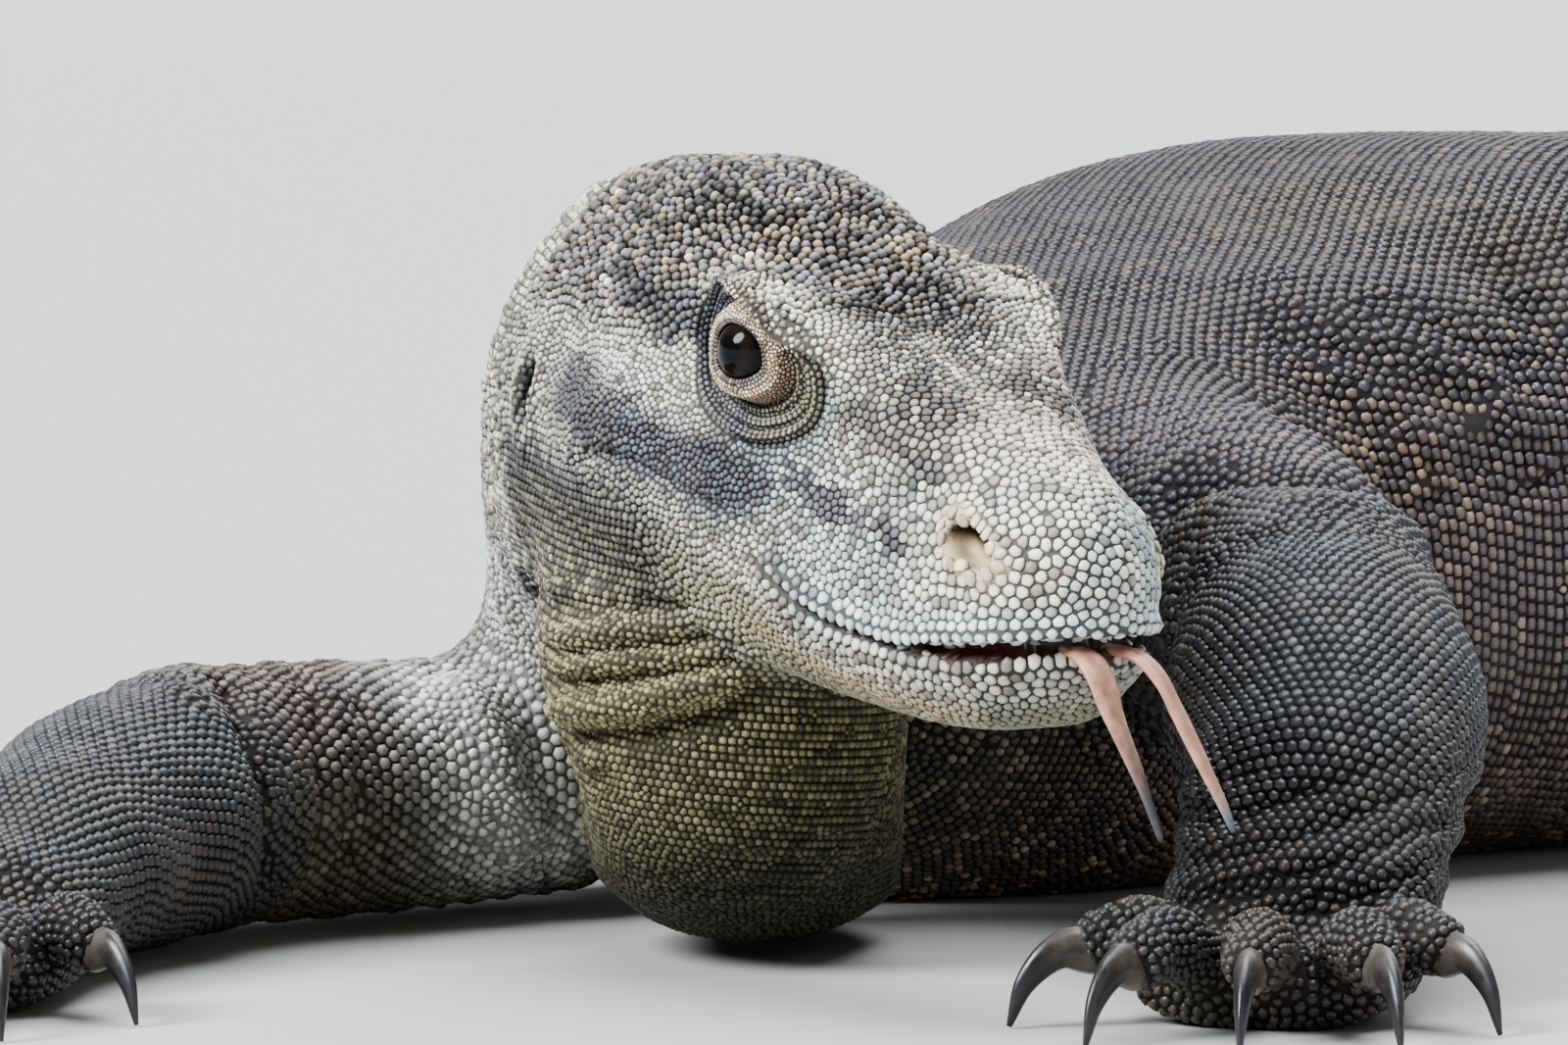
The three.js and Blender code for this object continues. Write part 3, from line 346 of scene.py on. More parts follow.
lat = Lattice()
D = blend(lat)
INSET = 1.0
grid = openvdb.FloatGrid(BG); grid.copyFromArray(D + INSET, ijk=tuple(int(v) for v in lat.lo)); grid.transform = openvdb.createLinearTransform(voxelSize=COARSE)
vp, vt, vq = grid.convertToPolygons(0.0)
del D
tick(f"lattice {lat.hi - lat.lo}, skin {len(vp)} points, {len(vq)} quads, {len(vt)} triangles")

# ---- noise, curves on the surface, zones -------------------------------------------------------
class Noise:
    def __init__(self, seed): self.t = np.random.RandomState(seed).rand(32, 32, 32).astype(np.float32) * 2 - 1
    def __call__(self, P, size):
        q = np.asarray(P, float) / size; i = np.floor(q).astype(int); f = q - i; f = f * f * (3 - 2 * f); r = 0
        for a in (0, 1):
            for b in (0, 1):
                for c in (0, 1):
                    w = (f[:, 0] if a else 1 - f[:, 0]) * (f[:, 1] if b else 1 - f[:, 1]) * (f[:, 2] if c else 1 - f[:, 2])
                    r = r + w * self.t[(i[:, 0] + a) & 31, (i[:, 1] + b) & 31, (i[:, 2] + c) & 31]
        return r
N1, N2, N3, N4 = Noise(1), Noise(2), Noise(3), Noise(4)
def fbm(P, size, f=N1): return f(P, size) * 0.6 + f(P + 31.7, size * 0.47) * 0.3 + f(P - 17.3, size * 0.22) * 0.15
def bump(d, s): return np.exp(-(d / s) ** 2)

def along(P, keys, reach=30.0, m=60):
    """Distance to the smooth line through keys, place along it (0 to 1) and height above it; far points get a large distance."""
    K = np.array(keys, float); C = spline(K, np.linspace(0, len(K) - 1, m)) if len(K) > 2 else K[0] + (K[1] - K[0]) * np.linspace(0, 1, m)[:, None]
    d = np.full(len(P), 1e3); t = np.zeros(len(P)); up = np.zeros(len(P))
    lo, hi = C.min(0) - reach, C.max(0) + reach
    ix = np.nonzero(np.all((P > lo) & (P < hi), axis=1))[0]
    if len(ix):
        a, b = C[:-1], C[1:]; ab = b - a
        best = np.full(len(ix), 1e9)
        for k in range(m - 1):
            u = np.clip(((P[ix] - a[k]) @ ab[k]) / (ab[k] @ ab[k]), 0, 1); q = a[k] + u[:, None] * ab[k]
            e = ((P[ix] - q) ** 2).sum(1); w = e < best
            best[w] = e[w]; t[ix[w]] = (k + u[w]) / (m - 1); up[ix[w]] = P[ix[w], 2] - q[w, 2]
        d[ix] = np.sqrt(best)
    return d, t, up
def fade(t, a=0.12): return smooth(0, a, t) * smooth(0, a, 1 - t)

centre = body_run.mean(1)
station = np.concatenate([[0], np.cumsum(np.linalg.norm(np.diff(centre, axis=0), axis=1))])
def body_station(P):
    s = np.zeros(len(P))
    for k in range(0, len(P), 20000):
        q = P[k:k + 20000]; s[k:k + 20000] = station[((q[:, None, :2] - centre[None, :, :2]) ** 2).sum(2).argmin(1)]
    return s
S_TRUNK = float(station[np.argmin(np.linalg.norm(centre - trunk_keys[0].mean(0), axis=1))])
S_HIP = float(station[np.argmin(np.linalg.norm(centre - trunk_keys[-1].mean(0), axis=1))])

def zones(P):
    """Distances to the groups of flesh, head coordinates and place along the body, for many points."""
    dom = Points(P); z = {}
    for name in PARTS:
        g = name if name in ("head", "body", "throat") else name.rstrip("12345")
        if g not in z: z[g] = np.full(len(P), BG, np.float32)
        ix, A = dom.get(name); z[g][ix] = np.minimum(z[g][ix], A)
    z["L"] = head_local(P); z["P"] = P
    z["s"] = body_station(P)
    z["fore"] = np.minimum.reduce([z[f"{l}_{k}"] for l in ("fore_left", "fore_right") for k in ("upper", "lower", "palm", "toe")])
    z["hind"] = np.minimum.reduce([z[f"{l}_{k}"] for l in ("hind_left", "hind_right") for k in ("upper", "lower", "palm", "toe")])
    z["foot"] = np.minimum.reduce([z[f"{l}_{k}"] for l in LEGS for k in ("palm", "toe")])
    z["toe"] = np.minimum.reduce([z[f"{l}_toe"] for l in LEGS])
    # how much of each point is head, throat, limb: 1 well inside the group's own surface, 0 away from it
    others = np.minimum(z["body"], z["throat"])
    z["is_head"] = smooth(5, -4, z["head"] - np.minimum(others, 6)) * smooth(-44, -12, z["L"][:, 0])
    z["is_fore"] = smooth(5, -5, z["fore"] - np.minimum(np.minimum(z["body"], z["head"]), z["throat"])) * smooth(14, 8, z["fore"])
    z["is_hind"] = smooth(5, -5, z["hind"] - z["body"]) * smooth(14, 8, z["hind"])
    z["is_throat"] = smooth(3, -3, z["throat"] - z["body"]) * smooth(9, 3, z["throat"]) * (1 - z["is_head"])
    return z

# ---- the skin's mesh ---------------------------------------------------------------------------
z = zones(vp.astype(float))
front = (z["head"] < 12) | (z["throat"] < 12) | (z["fore"] < 12) | ((z["P"][:, 0] < 60) & (z["P"][:, 1] < 290))
loose = ~front & (z["foot"] > 5)
me = bpy.data.meshes.new("skin"); me.from_pydata(vp.astype(float), [], vq.astype(int)); me.update()
skin = bpy.data.objects.new("skin", me); bpy.context.collection.objects.link(skin)
vg = skin.vertex_groups.new(name="loose"); vg.add([int(i) for i in np.nonzero(loose)[0]], 1.0, "REPLACE")
mod = skin.modifiers.new("thin", "DECIMATE"); mod.vertex_group = "loose"; mod.vertex_group_factor = 1.0
tris_all = len(vq) * 2; tris_loose = int(loose[vq].all(1).sum()) * 2
mod.ratio = (tris_all - tris_loose + 26000) / tris_all
dg = bpy.context.evaluated_depsgraph_get(); thin = bpy.data.meshes.new_from_object(skin.evaluated_get(dg))
skin.modifiers.clear(); skin.vertex_groups.clear(); skin.data = thin
tick(f"thinned: {len(thin.polygons)} faces, {sum(len(p.vertices) - 2 for p in thin.polygons)} triangles (loose were {tris_loose})")

def coords(me):
    a = np.empty(len(me.vertices) * 3, np.float32); me.vertices.foreach_get("co", a); return a.reshape(-1, 3).astype(float)
def put(me, P): me.vertices.foreach_set("co", np.ascontiguousarray(P, np.float32).ravel()); me.update()
def normals(me):
    a = np.empty(len(me.vertices) * 3, np.float32); me.vertices.foreach_get("normal", a); return a.reshape(-1, 3).astype(float)
def settle(P, steps=3):
    """Moves points onto the flesh field's inset surface, along its slope."""
    for _ in range(steps):
        d = blend(Points(P)) + INSET; e = 0.8
        g = np.stack([blend(Points(P + np.eye(3)[i] * e)) + INSET - d for i in range(3)], 1) / e
        l2 = np.maximum((g ** 2).sum(1), 0.25)
        step = np.clip(d, -3, 3)[:, None] * g / l2[:, None]
        step[np.abs(d) > 12] = 0
        P = P - step
    return P

def refine(me, pick, cuts=1):
    """Cuts each edge whose two ends are both picked."""
    bm = bmesh.new(); bm.from_mesh(me); bm.verts.ensure_lookup_table()
    edges = [e for e in bm.edges if pick[e.verts[0].index] and pick[e.verts[1].index]]
    bmesh.ops.subdivide_edges(bm, edges=edges, cuts=cuts, use_grid_fill=True)
    bmesh.ops.triangulate(bm, faces=[f for f in bm.faces if len(f.verts) > 4])
    bm.to_mesh(me); bm.free(); me.update()

P = coords(thin); z = zones(P)
refine(thin, (z["head"] < 3) & (z["L"][:, 0] > -30) | (z["throat"] < 3) & (z["L"][:, 0] > -20) & (P[:, 2] > 8))
P = settle(coords(thin), 3); put(thin, P)
tick(f"refined: {len(thin.polygons)} faces")
L = head_local(P)
lip_z = H["lipZ"](L[:, 0]) - 0.4
lip_reach = (L[:, 0] > 50) & (np.abs(L[:, 2] - lip_z) < 5.5)
nose = np.linalg.norm(L * [1, 1, 1] - np.stack([173 + 0 * L[:, 0], np.sign(L[:, 1]) * 26, 20 + 0 * L[:, 0]], -1), axis=1) < 13
refine(thin, lip_reach | nose)
P = settle(coords(thin), 2); put(thin, P)
tick(f"lips refined: {len(thin.polygons)} faces")

# ---- sculpting: folds, lips, nostrils, ears, muscles, creases (heights along the normal, in mm) ---------------
NOSTRIL = np.array([172.5, 24.6, 19.6]); NOSTRIL_TILT, NOSTRIL_LONG, NOSTRIL_SHORT = -22, 8.8, 4.1
EAR = np.array([-4.0, 54.0, 18.0])
THROAT_FOLDS = [   # lines in the working frame: reach, height, width
    ([(-66, 84, 84), (-58, 63, 81), (-51.7, 54.6, 79.7), (-42, 44.4, 82), (-28.5, 36.9, 83.5), (-14.7, 23.5, 85.7), (-6.6, 18.5, 80)], 3.0, 2.6),
    ([(-68, 82, 76), (-58, 62, 73.6), (-49.3, 50.4, 73.6), (-38.8, 40.2, 75.2), (-22.8, 33.8, 77.3), (-8.6, 24, 79.5), (-2.5, 14, 78.3)], 3.0, 2.4),
    ([(-72, 86, 66), (-60, 64, 62), (-49.4, 51.5, 62.7), (-41.2, 41.8, 64.3), (-31.5, 35.5, 66.2), (-22.8, 32.8, 69.2), (-14.8, 32, 71.5), (-5.7, 27.6, 76.3)], 5.0, 3.9),
    ([(-64, 76, 93), (-55, 64, 91), (-45, 52, 91), (-34, 40, 92), (-22, 28, 93)], 1.5, 2.2),
    ([(-74, 92, 55), (-62, 68, 50), (-50, 54, 51), (-40, 44, 54)], 2.2, 3.4),
]
def side(keys): return [tuple(k) for k in keys], [(k[0], -k[1], k[2]) for k in keys]

def mouth_half(x): return 0.30 + 1.75 * smooth(146, 182, x)
def nostril(x, ay, zz):
    c, s = math.cos(math.radians(NOSTRIL_TILT)), math.sin(math.radians(NOSTRIL_TILT)); nx, nz = (x - NOSTRIL[0]) / 0.92, zz - NOSTRIL[2]
    return np.where(ay > 8, np.sqrt(((nx * c + nz * s) / NOSTRIL_LONG) ** 2 + ((-nx * s + nz * c) / NOSTRIL_SHORT) ** 2), 9.0)

def sculpt(P, N):
    z = zones(P); L = z["L"]; x, y, zz = L.T; ay = np.abs(y); LM = np.stack([x, ay, zz], 1)
    hd = z["is_head"]; h = np.zeros(len(P))
    # broad forms of the head
    g = lambda c, s: np.exp(-(((LM - c) / s) ** 2).sum(1))
    h += hd * (3.0 * g([26, 52, 8], [24, 20, 20]) - 1.6 * g([44, 45, 42], [26, 12, 7]) + 1.3 * g([20, 44, 46], [22, 12, 9]))      # jaw muscle, temple
    h += hd * (1.9 * g([172, 26, 22], [12, 14, 9]) - 1.5 * g([148, 26, 27], [13, 12, 8]) + 1.0 * g([128, 33, 14], [18, 14, 8]))         # nose bulb, dip before it, cheek
    h += hd * (1.6 * g([99, 20, 60], [26, 9, 10]) - 1.3 * g([112, 0, 57], [26, 9, 10]) + 1.0 * g([150, 0, 37], [18, 11, 8]))            # forehead ridges and the hollow between
    h += hd * (1.5 * g([40, 16, 76], [34, 12, 12]) - 0.9 * g([44, 0, 78], [40, 6, 10]))
    # brow ridge, from behind the eye to the front of the orbit
    d, t, up = along(LM, [(58, 36.5, 58), (70, 38, 61.5), (86, 39.5, 62.5), (99, 38, 60.5), (108, 34.5, 55), (113, 33, 47)], 20)
    h += hd * fade(t, 0.2) * (2.9 * bump(d, 3.2) - 1.0 * bump(d, 9))
    d, t, up = along(LM, [(109, 34, 40), (122, 32, 35), (138, 28, 31), (156, 24, 27)], 20)
    h += hd * fade(t, 0.3) * (1.0 * bump(d, 4)) 
    # creases of the cheek and behind the mouth corner
    for keys, a, w in (([(104, 38, 2), (94, 41, 9.5), (74, 45, 11.2), (53, 49, 14), (38, 51, 11), (24, 52, 2)], -1.5, 1.5),
                       ([(98, 40, -2), (84, 43, 1), (68, 46, 1), (52, 48, 0)], -0.7, 1.6), ([(98, 40, 12), (84, 43, 17), (66, 46, 19), (50, 50, 22)], -0.6, 1.8),
                       ([(62, 44, 30), (52, 48, 27), (40, 51, 22), (28, 53, 14)], -0.9, 2.2), ([(60, 42, 44), (48, 46, 41), (34, 49, 38)], -0.8, 2.0)):
        d, t, up = along(LM, keys, 14); h += hd * a * bump(d, w) * fade(t) - hd * a * 0.45 * bump(d - 3.2 * abs(w) / 1.5, w * 1.2) * fade(t)
    h -= 8.0 * np.exp(-(((LM - [13, 56, 26]) / [28, 18, 30]) ** 2).sum(1)) * smooth(-10, -30, y)
    h -= 4.2 * np.exp(-(((P - [-76, 106, 122]) / [18, 34, 32]) ** 2).sum(1)) * (1 - z["is_fore"])
    # wrinkles at the angle of the jaw, running down and forward
    wr = np.sin((zz * 0.86 + x * 0.20 + 4.5 * N2(P, 22)) / 5.6 * 2 * np.pi)
    h += hd * 0.5 * wr * smooth(84, 50, x) * smooth(6, -8, zz)
    # ear slit
    e = np.sqrt(((x - EAR[0]) / 3.0) ** 2 + ((zz - EAR[2]) / 9.0) ** 2) * (ay > 20)
    h += hd * (ay > 20) * (-4.5 * np.exp(-e ** 3) + 1.1 * bump(e - 1.75, 0.55))
    # lips: a groove along the mouth, rolled edges, the gap widening to the front
    lz = H["lipZ"](x) - 0.4; dz = zz - lz
    half = mouth_half(x)
    on = hd * smooth(96, 106, x)
    deep = on * (1.4 + 5.2 * smooth(125, 170, x))
    h -= deep * smooth(half + 0.75, half - 0.25, np.abs(dz))
    h += on * 0.9 * bump(np.abs(dz) - half - 2.3, 1.7)
    h += on * 0.5 * bump(dz + half + 5.5, 2.6) - on * 0.6 * bump(dz - half - 7.2, 1.6)
    # nostrils
    e = nostril(x, ay, zz)
    h += hd * (-6.0 * smooth(1.04, 0.58, e) + 0.85 * bump(e - 1.26, 0.24) * (1 + 0.5 * smooth(2, -3, zz - NOSTRIL[2])))
    # throat folds
    for keys, a, w in THROAT_FOLDS:
        d, t, up = along(P, keys, 16); f = fade(t, 0.16)
        h += f * (a * bump(d, w) - 0.85 * a * bump(np.hypot(d - w * 1.7, 0) , w * 0.8) * (up < 0) - 0.2 * a * bump(d - w * 1.5, w * 0.8) * (up >= 0))
        K = [(2 * -22.4 - k[0] - 0.0, k[1], k[2]) for k in keys]
    # the same folds, mirrored to the other side of the head
    LMs = head_world(L * [1, -1, 1])
    for keys, a, w in THROAT_FOLDS:
        d, t, up = along(LMs, keys, 16); f = fade(t, 0.16) * (y > 4)
        h += 0.8 * f * (a * bump(d, w) - 0.62 * a * bump(d - w * 1.7, w * 0.8) * (up < 0))
    # the throat narrows towards the ground, with a hollow beside it before the chest
    h -= 9.0 * np.exp(-(((P - [-62, 84, 36]) / [15, 34, 22]) ** 2).sum(1)) * smooth(4, -2, z["throat"]) + 4.0 * np.exp(-(((P - [18, 96, 24]) / [16, 34, 20]) ** 2).sum(1)) * smooth(4, -2, z["throat"])
    # fine wrinkles round the neck and throat
    nk = (1 - hd) * smooth(130, 60, z["s"]) * smooth(1, 6, z["fore"])
    wr = np.sin((P[:, 2] + 0.16 * P[:, 0] + 5 * N1(P, 26)) / 7.4 * 2 * np.pi)
    h += nk * 0.55 * wr * smooth(-0.2, 0.4, N3(P, 40)) + nk * 0.9 * fbm(P, 30)
    # neck: long folds down its side, and the pale fold in front of the right arm
    d, t, up = along(P, [(-74, 172, 92), (-76, 165, 72), (-77, 160, 56), (-73, 158, 40), (-68, 160, 29), (-63, 175, 12)], 26)
    h += 5.0 * bump(d, 9.5) * fade(t, 0.14) - 1.6 * bump(d - 14, 4) * fade(t, 0.2)
    d, t, up = along(P, [(-66, 108, 96), (-62, 136, 72), (-60, 156, 48), (-58, 154, 22)], 20)
    h += 2.4 * bump(d, 4) * fade(t, 0.2) - 1.5 * bump(d - 6.5, 2.5) * fade(t, 0.2)
    # right arm: the elbow's deep crease, the swelling forearm, wrinkles of the upper arm
    d, t, up = along(P, [(-136, 124, 64), (-133.7, 112, 61), (-127, 94, 47), (-123, 93, 30), (-126, 106, 13)], 22)
    h -= 4.2 * bump(d, 3.2) * fade(t, 0.15)
    d, t, up = along(P, [(-150, 108, 68), (-141, 92, 52), (-136, 86, 34), (-138, 92, 14)], 26)
    h += 3.4 * bump(d, 9) * fade(t, 0.2)
    d, t, up = along(P, [(-112, 150, 66), (-108, 128, 50), (-106, 118, 30), (-108, 122, 12)], 22)
    h += 1.8 * bump(d, 4.5) * fade(t, 0.2) - 1.4 * bump(d - 7, 2.4) * fade(t, 0.2)
    fr = smooth(3, -3, z["fore_right_upper"]); h += fr * 0.8 * np.sin((P[:, 0] * 0.85 + P[:, 2] * 0.5 + 6 * N1(P, 30)) / 8.5 * 2 * np.pi)
    # left arm: wrinkles over the elbow's top, rolls above the wrist, muscle of the forearm
    fl = smooth(3, -3, z["fore_left_lower"])
    roll = smooth(62, 48, P[:, 2]) * smooth(22, 30, P[:, 2])
    h += fl * roll * 1.25 * np.sin((P[:, 2] - 0.30 * P[:, 0] + 3.0 * N1(P, 24)) / 9.0 * 2 * np.pi)
    h += 3.0 * np.exp(-(((P - [146, 40, 62]) / [16, 26, 20]) ** 2).sum(1)) * fl
    flu = smooth(6, -6, z["fore_left_upper"]); arc = np.linalg.norm(P - [104, 96, 96], axis=1)
    h += flu * 0.9 * np.sin((arc + 5 * N2(P, 34)) / 10.5 * 2 * np.pi) * smooth(30, 48, arc) * smooth(130, 90, arc)
    d, t, up = along(P, [(88, 104, 110), (96, 86, 99), (94, 70, 84), (92, 62, 66)], 20); h -= 2.6 * bump(d, 3.2) * fade(t, 0.25)
    # the arm stands clear of the trunk behind it
    d, t, up = along(P, [(88, 112, 105), (97, 104, 104), (107, 93, 109), (121, 82, 111), (134, 82, 110), (148, 104, 105), (154, 124, 96)], 30); h += 2.2 * bump(d, 8) * fade(t, 0.12)
    d, t, up = along(P, [(86, 126, 112), (96, 122, 112), (108, 114, 116), (122, 106, 118), (138, 108, 116), (152, 126, 108)], 34); h -= 6.5 * bump(d, 10) * fade(t, 0.12)
    # shoulder, and the hollow behind it; loose folds of the flank
    h += 7.5 * np.exp(-(((P - [140, 262, 138]) / [40, 26, 30]) ** 2).sum(1))
    d, t, up = along(P, [(178, 318, 172), (186, 296, 160), (192, 284, 148), (204, 278, 130), (216, 276, 104)], 30)
    h -= 3.6 * bump(d, 10) * fade(t, 0.4)
    d, t, up = along(P, [(206, 330, 176), (222, 306, 156), (234, 300, 128), (240, 300, 100)], 30)
    h += 3.2 * bump(d, 8) * fade(t, 0.25) 
    for keys, a_, w_ in (([(143, 249, 146), (163, 253, 137), (181, 258, 125), (190, 259, 109), (194, 260, 93)], 2.6, 6), ([(117, 232, 136), (135, 238, 133), (149, 239, 124), (158, 240, 115), (162, 239, 104), (164, 238, 88)], 2.2, 5)):
        d, t, up = along(P, keys, 30); h += a_ * bump(d, w_) * fade(t, 0.2) - 0.9 * a_ * bump(d - 1.7 * w_, w_ * 0.7) * fade(t, 0.2)
    trunk = smooth(S_TRUNK - 40, S_TRUNK + 60, z["s"]) * (1 - z["is_fore"]) * (1 - z["is_hind"]) * (1 - hd)
    q = np.stack([z["s"], P[:, 2] * 0.34, z["body"] * 0], 1)
    tail = smooth(S_HIP + 60, S_HIP + 260, z["s"])
    low = smooth(150, 95, P[:, 2])
    h += trunk * (1 - tail) * (low * 2.2 * np.sin((z["s"] + 0.45 * P[:, 2] + 12 * N2(q, 60)) / 27 * 2 * np.pi) * smooth(-0.25, 0.45, N3(q, 110)) + 2.2 * N4(P, 75))
    h += trunk * 0.5 * fbm(P, 24) + z["is_fore"] * 0.5 * N2(P, 13) + z["is_hind"] * (1.6 * N2(P, 44) + 0.6 * N1(P, 17))
    # hips: a crease where each thigh meets the body is left soft; knees and heels wrinkle
    hl = smooth(4, -4, np.minimum(z["hind_left_lower"], z["hind_right_lower"]))
    h += hl * 0.8 * np.sin((P[:, 0] * 0.8 + P[:, 1] * 0.3 + 5 * N1(P, 30)) / 9.5 * 2 * np.pi)
    # low belly edge stays on the floor
    h *= smooth(-1, 5, P[:, 2]) * 0.85 + 0.15
    return P + N * h[:, None]

P = sculpt(P, normals(thin))
P[:, 2] = np.maximum(P[:, 2], 0.4); put(thin, P)
tick("sculpted")

# ---- eyelids: a fine ring of skin round each eye, sewn into the opening cut for it ----------------------------
OPEN_W, OPEN_H = 7.6, 6.4
LID_IN = curve([[-0.6, -1.5], [-0.1, 0.05], [0.45, 0.66], [1.3, 0.80], [3.0, 0.35], [5.0, -0.7], [6.4, -1.7], [10, -2.6]])
LID_LOW = curve([[4.5, -2.9], [6.3, -2.6], [8.0, -0.7], [9.3, -1.6], [11.0, -0.2], [12.4, -1.2], [14.8, 1.15], [16.4, -0.7], [18.5, 0]])
LID_BROW = curve([[6.0, -3.6], [10.5, -3.0], [12.6, -0.9], [14.6, 1.9], [16.4, 2.2], [18.5, 0.6]])
EDGE = curve([[-180, 20.4], [-140, 18.6], [-105, 17.8], [-60, 21.0], [-20, 24.8], [0, 23.2], [12, 18.0], [24, 12.8], [38, 11.0], [55, 10.6], [75, 11.2], [92, 12.0], [108, 14.0], [120, 16.4], [132, 18.6], [150, 19.8], [180, 20.4]])
LID_T = np.concatenate([[-0.6, -0.3, -0.1, 0.1, 0.3, 0.5, 0.75, 1.05, 1.4, 1.8], np.arange(2.3, 18.51, 0.45)])
LID_N = 132
def eye_frame(sgn):
    """Centre, radius and axes (forward, up, out) of one eye; sgn is +1 left, -1 right."""
    lo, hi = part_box("eye_left" if sgn > 0 else "eye_right")
    C = np.array([(a + b) / 2 * 1000 for a, b in zip(lo, hi)]) - SHIFT; R = float(np.mean([(b - a) / 2 * 1000 for a, b in zip(lo, hi)]))
    a = head_dir([0.20, sgn, 0.07]); f = head_dir([1, 0, 0]); f = unit(f - a * (f @ a)); u = head_dir([0, 0, 1]); u = unit(u - a * (u @ a) - f * (u @ f))
    return C, R, f, u, a
def opening(phi):
    p = 2.05; r = ((np.abs(np.cos(phi)) / OPEN_W) ** p + (np.abs(np.sin(phi)) / OPEN_H) ** p) ** (-1 / p)
    w = lambda at: (phi - at + np.pi) % (2 * np.pi) - np.pi
    return r + 0.35 * bump(w(-0.35), 0.4) + 0.2 * bump(w(np.pi + 0.2), 0.3)

def spread(phi):
    """Distance between folds for each unit of t: the outer fold (t = 15) lies on EDGE, close above the eye and wide below it."""
    d = np.degrees((phi + np.pi) % (2 * np.pi) - np.pi)
    return (EDGE(d) - opening(phi)) / 15.0
def brow_share(phi): return smooth(0.85, 0.42, spread(phi))
def groove_t(phi):
    """Where the groove between the lid and the folds lies."""
    return 6.5 + 4.3 * brow_share(phi)

